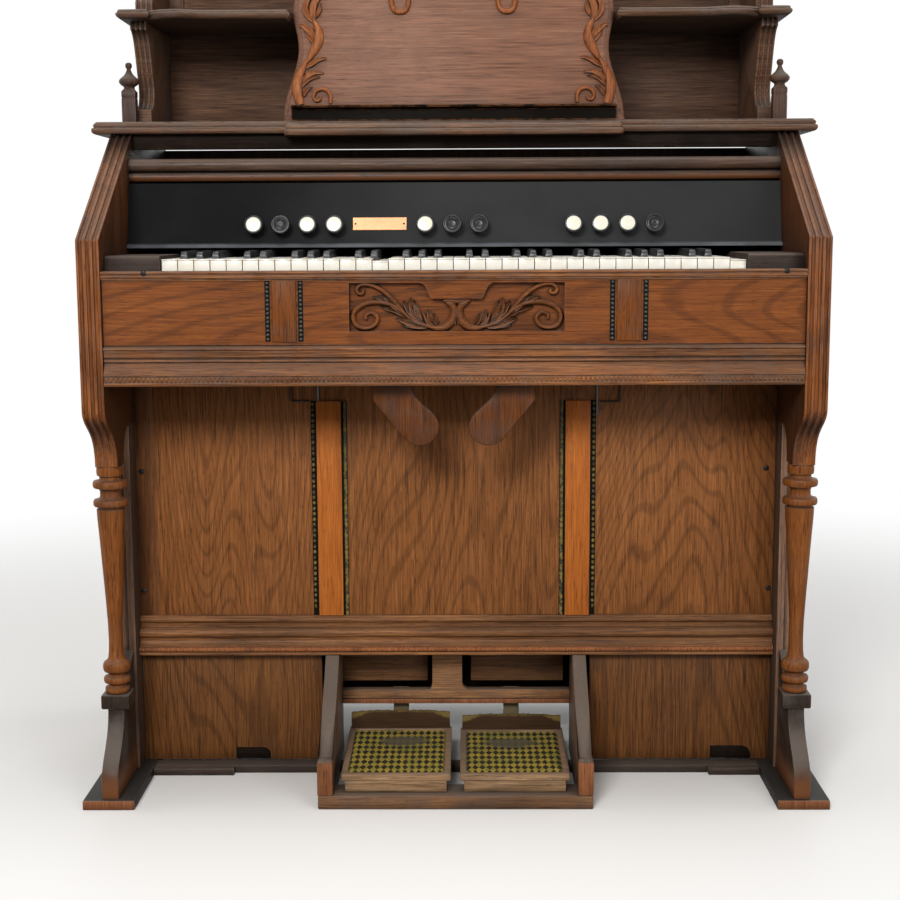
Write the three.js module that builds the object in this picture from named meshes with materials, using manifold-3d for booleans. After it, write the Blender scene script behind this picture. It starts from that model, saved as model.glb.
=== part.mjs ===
// Pump organ (reed organ) with a high back, as separate closed solids in millimetres, +Z up.
// The front faces -Y and the floor is Z = 0. Every depth is measured back from the front of the cheeks.
import * as THREE from "three";
import { mergeVertices } from "three/addons/utils/BufferGeometryUtils.js";
import Module from "manifold-3d";

const wasm = await Module();
wasm.setup();

// Driving dimensions: the keyboard sets the width and the heights, the case its depth
const naturalCount = 36;
const naturalPitch = 23.2;
const naturalTop = 812;
const caseDepth = 512;
const keyBlockWidth = 79.9;
const cheekThickness = 33.5;
const fit = 0.3;
const overrun = 2;

// Keyboard
const keyGap = 0.8;
const keyFront = 38;
const keyRear = 284;
const naturalHeight = 22;
const sharpFront = 88;
const sharpRise = 11;
const sharpWidth = 11;
const sharpTopWidth = 8.6;
const sharpSlope = 5;
const sharpClearance = 0.9;
const keyLip = 1.6;
const keyLipHeight = 3;
const keyRailWidth = 26;
const frontRailFront = 52;
const frontRailHeight = 14;
const keyFrameHeight = 47;
const keyBlockRise = 5.5;
const keyBlockFront = 28;
const keyBlockRound = 5;
const sunkKeyDrop = 3.5;
const movingOctaveFirst = 14;

// Key bed, keyslip and their mouldings
const keyBedDrop = 121;
const keyBedThickness = 24;
const apronHeight = 58;
const apronDepth = 26;
const keyslipFace = 8;
const keyslipDrop = 16;
const keyslipRailHeight = 14;
const keyslipBlockOffset = 244;
const keyslipBlockWidth = 36.5;
const keyslipBlockProud = 5;
const recessHalfWidth = 149;
const recessRise = 19;
const recessHeight = 68.5;
const recessDepth = 10;

// Stop board, stops and the sliding fall
const stopBoardFront = 185;
const stopBoardRise = 14.5;
const stopBoardLean = 25;
const stopBoardHeight = 97.5;
const stopBoardThickness = 12;
const stopLedge = 6;
const stopRise = 30;
const stopPitch = 40.7;
const stopGroupInner = 181;
const stopMiddleOffset = -2.5;
const stopHeadRadius = 13.5;
const stopHeadLength = 21;
const stopFaceRadius = 11.4;
const stopFaceRecess = 1.2;
const stopStemRadius = 5;
const stopStemLength = 58;
const stopSeat = 0.6;
const fallFront = 207;
const fallGap = 2;
const fallUpperRoll = 10;
const fallLowerRoll = 7.6;
const fallThickness = 12;
const fallRearRoom = 60;

// Main shelf and its frieze
const shelfRise = 74;
const shelfThickness = 19;
const shelfOverhang = 27.5;
const shelfFront = 235;
const breakHalfWidth = 262;
const breakFront = 210;
const breakDrop = 5;
const breakRound = 18;
const friezeDepth = 250;
const friezeHeight = 23;
const friezeThickness = 12;
const backGap = 12;

// End boards: the thick upper cheek, its shoulder, its scrolled foot and the thinner board below
const shoulderRise = 28;
const slopeDepth = 242;
const scrollRoom = 34;
const scrollHeight = 92;
const scrollTipDepth = 68;
const scrollTipWidth = 42;
const cheekBeltRise = 53;
const lowerEndThickness = 23;
const lowerEndFront = 150;
const lowerEndRise = 46;
const fluteCount = 3;
const fluteDepth = 2.6;
const fluteShare = 0.56;

// Columns, feet and skids
const columnDepth = 88;
const columnRingRadius = 25.5;
const blockWidth = 43;
const blockHeight = 22;
const blockTop = 158;
const skidHeight = 14;
const skidWidth = 77;
const skidShift = 1.6;
const skidFront = 8;
const bracketThickness = 25;
const bracketToe = 6;
const bracketToeHeight = 34;
const bracketRise = 47;

// Upper part on the main shelf
const upperBayHeight = 167;
const upperShelfThickness = 14;
const upperEndInset = 32;
const upperEndThickness = 25;
const upperEndTopDepth = 262;
const upperEndFootSetback = 110;
const upperEndRearRoom = 42;
const upperShelfOverhang = 15;
const upperShelfFront = 224;
const upperShelfTipWidth = 52;
const upperShelfBulge = 14;
const upperShelfWave = 84;
const deskNotchHalfWidth = 250;
const deskNotchDepth = 304;
const upperBackRoom = 62;
const upperBackThickness = 12;
const upperPanelProud = 3;
const upperPanelMargin = 34;
const postWidth = 21;
const postHeight = 54;
const postShift = 4;
const finialHeight = 41;
const finialRadius = 14;

// Gallery above the upper shelf, which the photograph cuts off
const galleryEndWidth = 27;
const galleryEndFront = 306;
const galleryHeight = 184;
const corniceHeight = 20;
const corniceOverhang = 16;
const crestHeight = 210;
const crestShoulder = 46;
const crestThickness = 20;
const crestScrollRadius = 24;
const crestScrollOffset = 118;

// Music desk
const deskThickness = 14;
const deskFoot = 252;
const deskHeight = 322;
const deskHalfWidth = 264;
const deskLean = 0.085;
const deskLedgeHalfWidth = 250;
const deskLedgeHeight = 23;
const deskLedgeDepth = 22;

// Lower front
const lowerPanelDepth = 190;
const lowerPanelThickness = 18;
const stileOffset = 190.5;
const stileWidth = 38.5;
const stileProud = 6;
const stileTopDrop = 42;
const ropeWidth = 9.5;
const ropeProud = 3.5;
const railFront = 170;
const railBottom = 191;
const railHeight = 60;
const kickThickness = 15;
const kickGap = 7.5;
const toeFront = 166;
const toeHeight = 13;
const toeStepFront = 154;
const toeStepHeight = 12;
const toeStepLeft = 351;
const toeStepRight = 398;
const backThickness = 12;
const backBottom = 110;
const keyBedRearGap = 4;

// Pedals and their frame
const sillFront = 10;
const sillDepth = 52;
const sillHeight = 21;
const cheekBoardThickness = 21.5;
const pedalCheekGap = 12;
const pedalCheekToe = 72;
const bellowsRailFront = 222;
const bellowsRailThickness = 16;
const bellowsRailBottom = 96;
const bellowsRailHeight = 23;
const spineHalfWidth = 24;
const spineShift = 14;
const spineTop = 300;
const pedalInner = 7;
const pedalWidth = 164;
const pedalNose = 24;
const pedalLength = 202;
const pedalTop = 50;
const pedalBoard = 11;
const pedalApronInset = 6;
const pedalApronSetback = 6;
const pedalApronDepth = 26;
const pedalSeat = 0.4;
const pedalBorder = 9;
const pedalRecess = 2;
const flapThickness = 10;
const flapOverlap = 3;
const flapHeight = 25;
const tabWidth = 34;
const tabThickness = 6;
const tabReach = 20;
const strapWidth = 25;
const strapThickness = 2;

// Bellows and wind chest
const exhausterInner = 35;
const exhausterShift = 11;
const exhausterWidth = 150;
const exhausterThickness = 12;
const exhausterHingeGap = 12;
const exhausterHingeDrop = 221;
const exhausterFoot = 128;
const exhausterTilt = 0.155;
const bellowsBoardDepth = 318;
const bellowsBoardThickness = 12;
const bellowsSideRoom = 67;
const bellowsBoardFoot = 66;
const hingeCleatHeight = 24;
const hingeCleatDepth = 18;
const foldCount = 3;
const foldShare = 0.57;
const foldInset = 22;
const foldSideRoom = 97;
const foldBottom = 250;
const foldTopRoom = 67;
const windchestSideRoom = 57;
const windchestFront = 100;
const windchestDepth = 200;

// Knee levers
const leverDepth = 36;
const leverThickness = 12;
const leverRadius = 29;
const leverOffset = 50;
const leverDrop = 62;
const leverRise = 17;
const leverNeckInner = 63.5;
const leverNeckOuter = 118;
const leverPivotOffset = 90;
const leverPivotBlock = 20;

// Fineness of the curves
const roundSteps = 18;
const stopSteps = 14;
const curveSteps = 6;
const beadSteps = 4;
const weld = 0.001;

// Widths that follow from the keyboard
const keyboardHalf = (naturalCount * naturalPitch) / 2;
const inner = keyboardHalf + keyBlockWidth;
const insideHalf = inner - fit;
const cheekOuter = inner + cheekThickness;
const columnOffset = cheekOuter - cheekThickness / 2;
const skidCentre = columnOffset + skidShift;
const shelfHalfWidth = cheekOuter + shelfOverhang;
const upperEndOuter = cheekOuter - upperEndInset;
const upperEndInner = upperEndOuter - upperEndThickness;
const upperShelfHalfWidth = upperEndOuter + upperShelfOverhang;
const postOffset = upperEndOuter + postShift;
const sillHalfWidth = pedalInner + pedalWidth + pedalCheekGap + cheekBoardThickness;
const kickInner = sillHalfWidth + kickGap;

// Heights that follow from the keys
const keyFrameFoot = naturalTop - keyFrameHeight;
const keyBlockTop = naturalTop + keyBlockRise;
const keyBedTop = naturalTop - keyBedDrop;
const keyBedUnder = keyBedTop - keyBedThickness;
const apronBottom = keyBedTop - apronHeight;
const keyslipTop = naturalTop - keyslipDrop;
const recessBottom = keyBedTop + recessRise;
const stopBoardBottom = naturalTop + stopBoardRise;
const stopHeight = stopBoardBottom + stopRise;
const fallBottom = stopBoardBottom + stopBoardHeight + fallGap;
const shelfUnder = fallBottom + shelfRise;
const shelfTop = shelfUnder + shelfThickness;
const shoulderHeight = naturalTop + shoulderRise;
const scrollTop = apronBottom - scrollRoom;
const scrollTip = scrollTop - scrollHeight;
const cheekBeltHeight = scrollTip + cheekBeltRise;
const railTop = railBottom + railHeight;
const upperShelfTop = shelfTop + upperBayHeight;
const upperShelfUnder = upperShelfTop - upperShelfThickness;
const galleryTop = upperShelfTop + galleryHeight;
const leverCentre = apronBottom - leverDrop;
const leverTop = keyBedUnder - leverRise;
const exhausterHingeHeight = keyBedUnder - exhausterHingeDrop;
const exhausterLength = exhausterHingeHeight - exhausterFoot;
const foldHeight = keyBedUnder - foldTopRoom - foldBottom;
const pedalHingeHeight = sillHeight + pedalSeat;

// Depths that follow from the case and from the pedals
const backFront = caseDepth - backThickness;
const backTop = shelfUnder - backGap;
const keyBedRear = backFront - keyBedRearGap;
const fallRear = backFront - fallRearRoom;
const upperBackDepth = caseDepth - upperBackRoom;
const upperEndRear = caseDepth - upperEndRearRoom;
const upperEndBottomDepth = upperEndTopDepth + upperEndFootSetback;
const bellowsBoardRear = bellowsBoardDepth + bellowsBoardThickness;
const foldDepth = ((backFront - bellowsBoardRear - bellowsBoardThickness) * foldShare) / foldCount;
const exhausterHingeDepth = bellowsBoardDepth - exhausterHingeGap;
const pedalRear = pedalNose + pedalLength;
const pedalApronFront = pedalNose + pedalApronSetback;
const flapRear = pedalRear - flapOverlap;
const flapFront = flapRear - flapThickness;
const tabRear = pedalRear + tabReach;
const stopLean = Math.atan2(stopBoardLean, stopBoardHeight);
const stopDepth = stopBoardFront + (stopRise * stopBoardLean) / stopBoardHeight;

const axisX = new THREE.Vector3(1, 0, 0);
const axisY = new THREE.Vector3(0, 1, 0);
const axisZ = new THREE.Vector3(0, 0, 1);

const wood = { color: 0x6e3f24, roughness: 0.5, metalness: 0 };
const darkWood = { color: 0x4a2a1a, roughness: 0.5, metalness: 0 };
const litWood = { color: 0x9a5a30, roughness: 0.5, metalness: 0 };
const ebonised = { color: 0x232426, roughness: 0.35, metalness: 0 };
const ivory = { color: 0xf2ead8, roughness: 0.3, metalness: 0 };
const paleWood = { color: 0xa07c50, roughness: 0.65, metalness: 0 };
const canvas = { color: 0x5c5040, roughness: 0.9, metalness: 0 };

// Solids and outlines

function solidOf(geometry) {
  const bare = geometry.clone();
  bare.deleteAttribute("normal");
  bare.deleteAttribute("uv");
  const merged = mergeVertices(bare, weld);
  return new wasm.Manifold(
    new wasm.Mesh({
      numProp: 3,
      vertProperties: merged.attributes.position.array,
      triVerts: new Uint32Array(merged.index.array),
    }),
  );
}

function joined(pieces) {
  return pieces.reduce((whole, piece) => whole.add(piece));
}

function without(solid, tools) {
  return tools.reduce((rest, tool) => rest.subtract(tool), solid);
}

function slab([x0, x1], [y0, y1], [z0, z1]) {
  const geometry = new THREE.BoxGeometry(x1 - x0, y1 - y0, z1 - z0);
  geometry.translate((x0 + x1) / 2, (y0 + y1) / 2, (z0 + z1) / 2);
  return solidOf(geometry);
}

function outline(points) {
  return new THREE.Shape(points.map(([a, b]) => new THREE.Vector2(a, b)));
}

function extruded(shape, length, basis) {
  const settings = { depth: length, bevelEnabled: false, curveSegments: curveSteps };
  const geometry = new THREE.ExtrudeGeometry(shape, settings);
  geometry.applyMatrix4(new THREE.Matrix4().makeBasis(...basis));
  return geometry;
}

// An outline in depth and height, run across the organ.
function alongX(shape, [x0, x1]) {
  const geometry = extruded(shape, x1 - x0, [axisY, axisZ, axisX]);
  geometry.translate(x0, 0, 0);
  return solidOf(geometry);
}

// An outline in width and height, run from the front to the back.
function alongY(shape, [y0, y1]) {
  const geometry = extruded(shape, y1 - y0, [axisX, axisZ, axisY.clone().negate()]);
  geometry.translate(0, y1, 0);
  return solidOf(geometry);
}

// An outline in width and depth, run upwards.
function alongZ(shape, [z0, z1]) {
  const geometry = extruded(shape, z1 - z0, [axisX, axisY, axisZ]);
  geometry.translate(0, 0, z0);
  return solidOf(geometry);
}

function lathe(profile, steps) {
  const geometry = new THREE.LatheGeometry(
    profile.map(([radius, height]) => new THREE.Vector2(radius, height)),
    steps,
  );
  geometry.rotateX(Math.PI / 2);
  return geometry;
}

// The points of one turned ring between two heights, swelling from its neck to its crown.
function bead(low, high, neck, crown) {
  const points = [];
  for (let i = 0; i <= beadSteps; i += 1) {
    const angle = (Math.PI * i) / beadSteps;
    points.push([
      neck + (crown - neck) * Math.sin(angle),
      (low + high) / 2 - ((high - low) / 2) * Math.cos(angle),
    ]);
  }
  return points;
}

// A board whose front edge is worked with flutes: narrow layers of its outline, some set back.
function flutedBoard(shapeAt, [x0, x1]) {
  const pitch = (x1 - x0) / fluteCount;
  const flute = pitch * fluteShare;
  const tools = [];
  for (let i = 0; i < fluteCount; i += 1) {
    const start = x0 + pitch * (i + (1 - fluteShare) / 2);
    tools.push(alongX(shapeAt(fluteDepth), [start, start + flute]));
  }
  const lands = [];
  for (let i = 0; i <= fluteCount; i += 1) {
    const start = i === 0 ? x0 : x0 + pitch * (i - (1 - fluteShare) / 2);
    const end = i === fluteCount ? x1 : x0 + pitch * (i + (1 - fluteShare) / 2);
    lands.push(alongX(shapeAt(0), [start, end]));
  }
  return joined([...lands, ...tools]);
}

function mirrored(solid) {
  return solid.mirror([1, 0, 0]);
}

const organ = new THREE.Group();
organ.name = "pump_organ";
organ.position.y = -caseDepth / 2;

function addNode(name, solid, look, place = organ) {
  const made = solid.getMesh();
  const geometry = new THREE.BufferGeometry();
  geometry.setAttribute(
    "position",
    new THREE.BufferAttribute(new Float32Array(made.vertProperties), 3),
  );
  geometry.setIndex(new THREE.BufferAttribute(new Uint32Array(made.triVerts), 1));
  const shaded = geometry.toNonIndexed();
  shaded.computeVertexNormals();
  const mesh = new THREE.Mesh(shaded, new THREE.MeshStandardMaterial(look));
  mesh.name = name;
  place.add(mesh);
  return mesh;
}

function addPair(name, rightSolid, look) {
  addNode(name + "_right", rightSolid, look);
  addNode(name + "_left", mirrored(rightSolid), look);
}

// Case

// The cheek seen from the side: shelf seat, slope, shoulder, straight front and scrolled foot.
function cheekOutline(inset) {
  const shape = new THREE.Shape();
  const top = shelfUnder - fit;
  const slope = (top - shoulderHeight) / slopeDepth;
  const scroll = scrollTop - scrollTip;
  const tipRear = scrollTipDepth + scrollTipWidth;
  shape.moveTo(caseDepth, top);
  shape.lineTo(slopeDepth + inset, top);
  shape.lineTo(inset, shoulderHeight - inset * slope);
  shape.lineTo(inset, scrollTop);
  shape.bezierCurveTo(
    inset,
    scrollTop - scroll / 3,
    scrollTipDepth + inset,
    scrollTop - scroll / 3,
    scrollTipDepth + inset,
    scrollTip + inset,
  );
  shape.lineTo(tipRear, scrollTip + inset);
  shape.quadraticCurveTo(tipRear, scrollTip + lowerEndRise, lowerEndFront, cheekBeltHeight);
  shape.lineTo(caseDepth, cheekBeltHeight);
  return shape;
}

function endBoard() {
  const cheek = flutedBoard(cheekOutline, [inner, cheekOuter]);
  const lower = slab(
    [inner, inner + lowerEndThickness],
    [lowerEndFront, caseDepth],
    [skidHeight + fit, cheekBeltHeight + overrun],
  );
  return joined([cheek, lower]);
}

// Heights and radii of the column's turnings, as shares of its length and of its widest ring.
const columnBeadShares = [
  [0, 0.04, 0.5, 0.63],
  [0.045, 0.09, 0.55, 0.71],
  [0.1, 0.15, 0.55, 0.77],
  [0.8, 0.85, 0.86, 1],
  [0.9, 0.94, 0.7, 0.98],
];
const columnWaistShares = [
  [0.19, 0.4],
  [0.45, 0.62],
  [0.76, 0.86],
];
const columnCapShares = [
  [0.955, 0.6],
  [1, 0.6],
];

function column() {
  const foot = blockTop + fit;
  const length = scrollTip - fit - foot;
  const at = (share) => foot + length * share;
  const wide = (share) => columnRingRadius * share;
  const turned = ([low, high, neck, crown]) => bead(at(low), at(high), wide(neck), wide(crown));
  const plain = ([height, radius]) => [wide(radius), at(height)];
  const profile = [
    [0, foot],
    ...columnBeadShares.slice(0, 3).flatMap(turned),
    ...columnWaistShares.map(plain),
    ...columnBeadShares.slice(3).flatMap(turned),
    ...columnCapShares.map(plain),
    [0, at(1)],
  ];
  const geometry = lathe(profile, roundSteps);
  geometry.translate(columnOffset, columnDepth, 0);
  return solidOf(geometry);
}

// The foot: a skid on the floor, a curved bracket on it and the block that carries the column.
const bracketHollowShare = 2;

function foot() {
  const blockBottom = blockTop - blockHeight;
  const bracketFront = columnDepth - blockWidth / 2 + bracketToe;
  const toe = skidFront + bracketToe;
  const rear = lowerEndFront - fit;
  const shape = new THREE.Shape();
  shape.moveTo(toe, skidHeight - fit);
  shape.lineTo(rear, skidHeight - fit);
  shape.lineTo(rear, blockTop + bracketRise);
  shape.quadraticCurveTo(
    columnDepth + blockWidth / 2,
    blockTop + bracketRise / 2,
    columnDepth + blockWidth / 2,
    blockBottom + overrun,
  );
  shape.lineTo(bracketFront, blockBottom + overrun);
  shape.bezierCurveTo(
    bracketFront,
    (blockBottom + bracketToeHeight) / 2,
    toe,
    bracketToeHeight * bracketHollowShare,
    toe,
    bracketToeHeight,
  );
  const bracket = alongX(shape, [
    columnOffset - bracketThickness / 2,
    columnOffset + bracketThickness / 2,
  ]);
  const block = slab(
    [columnOffset - blockWidth / 2, columnOffset + blockWidth / 2],
    [columnDepth - blockWidth / 2, columnDepth + blockWidth / 2],
    [blockBottom, blockTop],
  );
  const skid = slab(
    [skidCentre - skidWidth / 2, skidCentre + skidWidth / 2],
    [skidFront, caseDepth],
    [0, skidHeight],
  );
  return joined([skid, bracket, block]);
}

// The rail across the front below the panel: a half round, an ogee and a square fillet.
const railProfileShares = [
  [0, 0.28, 0.72, 1],
  [0.32, 0.52, 0.55, 0.98],
  [0.56, 0.66, 0.2, 0.3],
];
const railFootShares = [
  [0.6, 0.72],
  [0.8, 1],
];

function lowerRail() {
  const height = railTop - railBottom;
  const proud = lowerPanelDepth - railFront;
  const points = [
    [lowerPanelDepth + lowerPanelThickness, railTop],
    [lowerPanelDepth, railTop],
  ];
  for (const [from, to, low, high] of railProfileShares) {
    for (let i = 0; i <= beadSteps; i += 1) {
      const angle = (Math.PI * i) / beadSteps;
      const share = low + (high - low) * Math.sin(angle);
      points.push([
        lowerPanelDepth - proud * share,
        railTop - height * (from + ((to - from) * i) / beadSteps),
      ]);
    }
  }
  for (const [share, drop] of railFootShares) {
    points.push([lowerPanelDepth - proud * share, railTop - height * drop]);
  }
  points.push([lowerPanelDepth + lowerPanelThickness, railBottom]);
  return alongX(outline(points), [-insideHalf, insideHalf]);
}

function lowerFrontPanel() {
  const board = slab(
    [-insideHalf, insideHalf],
    [lowerPanelDepth, lowerPanelDepth + lowerPanelThickness],
    [railTop + fit, keyBedUnder - fit],
  );
  const pieces = [board];
  for (const side of [-1, 1]) {
    const at = side * stileOffset;
    const stile = stileWidth / 2;
    const heights = [railTop + fit, apronBottom - stileTopDrop];
    const back = lowerPanelDepth + overrun;
    pieces.push(slab([at - stile, at + stile], [lowerPanelDepth - stileProud, back], heights));
    pieces.push(
      slab(
        [at - stile - ropeWidth, at + stile + ropeWidth],
        [lowerPanelDepth - ropeProud, back],
        heights,
      ),
    );
  }
  return joined(pieces);
}

function kickPanel() {
  return slab(
    [kickInner, insideHalf],
    [lowerPanelDepth, lowerPanelDepth + kickThickness],
    [skidHeight + fit, railBottom - fit],
  );
}

// The board on the floor between the skids, with a lower step planted on its front at each end.
function toeBoard() {
  const reach = skidCentre - skidWidth / 2 - fit;
  const board = slab([-reach, reach], [toeFront, lowerPanelDepth - fit], [0, toeHeight]);
  const steps = [
    [-reach, -toeStepLeft],
    [toeStepRight, reach],
  ].map((ends) => slab(ends, [toeStepFront, toeFront + overrun], [0, toeStepHeight]));
  return joined([board, ...steps]);
}

function backBoard() {
  return slab([-insideHalf, insideHalf], [backFront, caseDepth], [backBottom, backTop]);
}

// Key bed with its moulded apron, and the two blocks that the knee levers turn on.
const apronShares = [
  [0.3, 1],
  [0.12, 0.88],
  [0.12, 0.71],
  [0.24, 0.68],
  [0.24, 0.6],
  [0, 0.55],
  [0, 0.22],
  [0.18, 0.06],
  [0.18, 0],
  [1, 0],
];

function keyBed() {
  const height = keyBedTop - apronBottom;
  const points = apronShares.map(([depth, rise]) => [apronDepth * depth, apronBottom + height * rise]);
  points.push([apronDepth, keyBedUnder], [keyBedRear, keyBedUnder], [keyBedRear, keyBedTop]);
  const pieces = [alongX(outline(points), [-insideHalf, insideHalf])];
  for (const side of [-1, 1]) {
    const at = side * leverPivotOffset;
    pieces.push(
      slab(
        [at - leverPivotBlock / 2, at + leverPivotBlock / 2],
        [leverDepth + leverThickness + fit, leverDepth + leverThickness + leverPivotBlock],
        [leverTop - leverPivotBlock, keyBedUnder + overrun],
      ),
    );
  }
  return joined(pieces);
}

function keyslip() {
  const bottom = keyBedTop + fit;
  const back = apronDepth;
  const railBottomHeight = keyslipTop - keyslipRailHeight;
  const body = slab([-insideHalf, insideHalf], [keyslipFace, back], [bottom, railBottomHeight + overrun]);
  const rail = slab([-insideHalf, insideHalf], [0, back], [railBottomHeight, keyslipTop]);
  const blocks = [-1, 1].map((side) =>
    slab(
      [
        side * keyslipBlockOffset - keyslipBlockWidth / 2,
        side * keyslipBlockOffset + keyslipBlockWidth / 2,
      ],
      [keyslipFace - keyslipBlockProud, keyslipFace + overrun],
      [bottom, railBottomHeight + overrun],
    ),
  );
  const recess = slab(
    [-recessHalfWidth, recessHalfWidth],
    [keyslipFace - overrun, keyslipFace + recessDepth],
    [recessBottom, recessBottom + recessHeight],
  );
  return joined([without(body, [recess]), rail, ...blocks]);
}

// Keyboard

const sharpAfter = [true, true, true, false, true, true, false];
const noteNames = ["f", "g", "a", "b", "c", "d", "e"];

function naturalCentre(index) {
  return (index + 1 / 2) * naturalPitch - keyboardHalf;
}

// Whether a sharp follows this natural, and so cuts into its right side.
function hasSharp(index) {
  return index >= 0 && index < naturalCount - 1 && sharpAfter[index % sharpAfter.length];
}

function natural(index, drop) {
  const centre = naturalCentre(index);
  const left = centre - (naturalPitch - keyGap) / 2;
  const right = centre + (naturalPitch - keyGap) / 2;
  const bite = sharpWidth / 2 + sharpClearance - keyGap / 2;
  const leftRear = left + (hasSharp(index - 1) ? bite : 0);
  const rightRear = right - (hasSharp(index) ? bite : 0);
  const mouth = sharpFront - sharpClearance;
  const top = naturalTop - drop;
  const plan = outline([
    [left, keyFront],
    [right, keyFront],
    [right, mouth],
    [rightRear, mouth],
    [rightRear, keyRear],
    [leftRear, keyRear],
    [leftRear, mouth],
    [left, mouth],
  ]);
  const stick = alongZ(plan, [top - naturalHeight, top]);
  const lip = slab([left, right], [keyFront - keyLip, keyFront + overrun], [top - keyLipHeight, top]);
  return stick.add(lip);
}

function sharp(index) {
  const centre = naturalCentre(index) + naturalPitch / 2;
  const bottom = naturalTop - naturalHeight;
  const top = naturalTop + sharpRise;
  const base = sharpWidth / 2;
  const crown = sharpTopWidth / 2;
  const front = outline([
    [centre - base, bottom],
    [centre + base, bottom],
    [centre + base, naturalTop],
    [centre + crown, top],
    [centre - crown, top],
    [centre - base, naturalTop],
  ]);
  const stick = alongY(front, [sharpFront, keyRear]);
  const nose = outline([
    [sharpFront - overrun, naturalTop],
    [sharpFront, naturalTop],
    [sharpFront + sharpSlope, top],
    [sharpFront + sharpSlope, top + overrun],
    [sharpFront - overrun, top + overrun],
  ]);
  return without(stick, [alongX(nose, [centre - sharpWidth, centre + sharpWidth])]);
}

function inMovingOctave(index) {
  return index >= movingOctaveFirst && index < movingOctaveFirst + sharpAfter.length;
}

// The frame under the keys, its end blocks, and the keys outside the moving octave, seated in it.
function keyFrame() {
  const bottom = keyFrameFoot;
  const pieces = [
    slab([-insideHalf, insideHalf], [keyRear - overrun, keyRear + keyRailWidth], [bottom, naturalTop]),
    slab(
      [-insideHalf, insideHalf],
      [frontRailFront, frontRailFront + keyRailWidth],
      [bottom, bottom + frontRailHeight],
    ),
  ];
  const blockSide = outline([
    [keyBlockFront, bottom],
    [keyRear, bottom],
    [keyRear, keyslipTop],
    [stopBoardFront, keyBlockTop],
    [keyBlockFront + keyBlockRound, keyBlockTop],
    [keyBlockFront, keyBlockTop - keyBlockRound],
  ]);
  for (const side of [-1, 1]) {
    const ends = [side * (keyboardHalf + keyGap), side * insideHalf].sort((a, b) => a - b);
    pieces.push(alongX(blockSide, ends));
  }
  for (let i = 0; i < naturalCount; i += 1) {
    const sunk = i === movingOctaveFirst - 1 || i === naturalCount - 1;
    if (!inMovingOctave(i)) pieces.push(natural(i, sunk ? sunkKeyDrop : 0));
    if (hasSharp(i) && !inMovingOctave(i)) pieces.push(sharp(i));
  }
  const first = naturalCentre(movingOctaveFirst) - naturalPitch / 2;
  const room = slab(
    [first, first + naturalPitch * sharpAfter.length],
    [keyRear - overrun * 2, keyRear + fit],
    [naturalTop - naturalHeight - overrun, naturalTop + overrun],
  );
  return without(joined(pieces), [room]);
}

// Stop board, stops and fall

function stopPlaces() {
  const places = [];
  for (let i = 3; i >= 0; i -= 1) places.push(-stopGroupInner - i * stopPitch);
  for (const i of [-1, 0, 1]) places.push(stopMiddleOffset + i * stopPitch);
  for (let i = 0; i <= 3; i += 1) places.push(stopGroupInner + i * stopPitch);
  return places;
}

function placedOnStopBoard(geometry, x) {
  geometry.rotateX(Math.PI / 2 - stopLean);
  geometry.translate(x, stopDepth, stopHeight);
  return geometry;
}

function stopBoard() {
  const top = stopBoardBottom + stopBoardHeight;
  const rear = stopBoardThickness / Math.cos(stopLean);
  const side = outline([
    [stopBoardFront - stopLedge, stopBoardBottom],
    [stopBoardFront + rear, stopBoardBottom],
    [stopBoardFront + stopBoardLean + rear, top],
    [stopBoardFront + stopBoardLean, top],
    [stopBoardFront + stopLedge / 4, stopBoardBottom + stopLedge],
    [stopBoardFront - stopLedge, stopBoardBottom + (stopLedge * 2) / 3],
  ]);
  const board = alongX(side, [-insideHalf, insideHalf]);
  const holes = stopPlaces().map((x) => {
    const reach = stopBoardThickness * 2;
    const bore = new THREE.CylinderGeometry(
      stopStemRadius + fit * 2,
      stopStemRadius + fit * 2,
      reach * 2,
      stopSteps,
    );
    bore.rotateX(Math.PI / 2);
    return solidOf(placedOnStopBoard(bore, x));
  });
  return without(board, holes);
}

// A turned stop: stem through the board, flared head and a face set back inside its rim.
const stopHeadShares = [
  [0.52, 0],
  [0.46, 0.3],
  [0.62, 0.55],
  [1, 0.8],
  [1, 0.96],
];

function stopKnob(x) {
  const head = stopHeadShares.map(([radius, length]) => [
    stopHeadRadius * radius,
    stopSeat + stopHeadLength * length,
  ]);
  const rim = stopSeat + stopHeadLength;
  const profile = [
    [0, -stopStemLength],
    [stopStemRadius, -stopStemLength],
    [stopStemRadius, stopSeat],
    ...head,
    [stopFaceRadius, rim],
    [stopFaceRadius, rim - stopFaceRecess],
    [0, rim - stopFaceRecess],
  ];
  return solidOf(placedOnStopBoard(lathe(profile, stopSteps), x));
}

// The fall: two rolls on its front edge and the board that slides back under the shelf.
function fallboard() {
  const rollShape = (radius, low) => {
    const shape = new THREE.Shape();
    shape.moveTo(fallFront + fallUpperRoll * 2, low);
    shape.lineTo(fallFront + fallUpperRoll * 2, low + radius * 2);
    shape.lineTo(fallFront + fallUpperRoll, low + radius * 2);
    shape.absarc(fallFront + fallUpperRoll, low + radius, radius, Math.PI / 2, Math.PI * 1.5, false);
    return shape;
  };
  const middle = fallBottom + fallLowerRoll * 2;
  const ends = [-insideHalf, insideHalf];
  const lower = alongX(rollShape(fallLowerRoll, fallBottom), ends);
  const upper = alongX(rollShape(fallUpperRoll, middle - fit), ends);
  const board = slab(ends, [fallFront + fallUpperRoll, fallRear], [middle, middle + fallThickness]);
  return joined([lower, upper, board]);
}

// Shelves and the upper part

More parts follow.
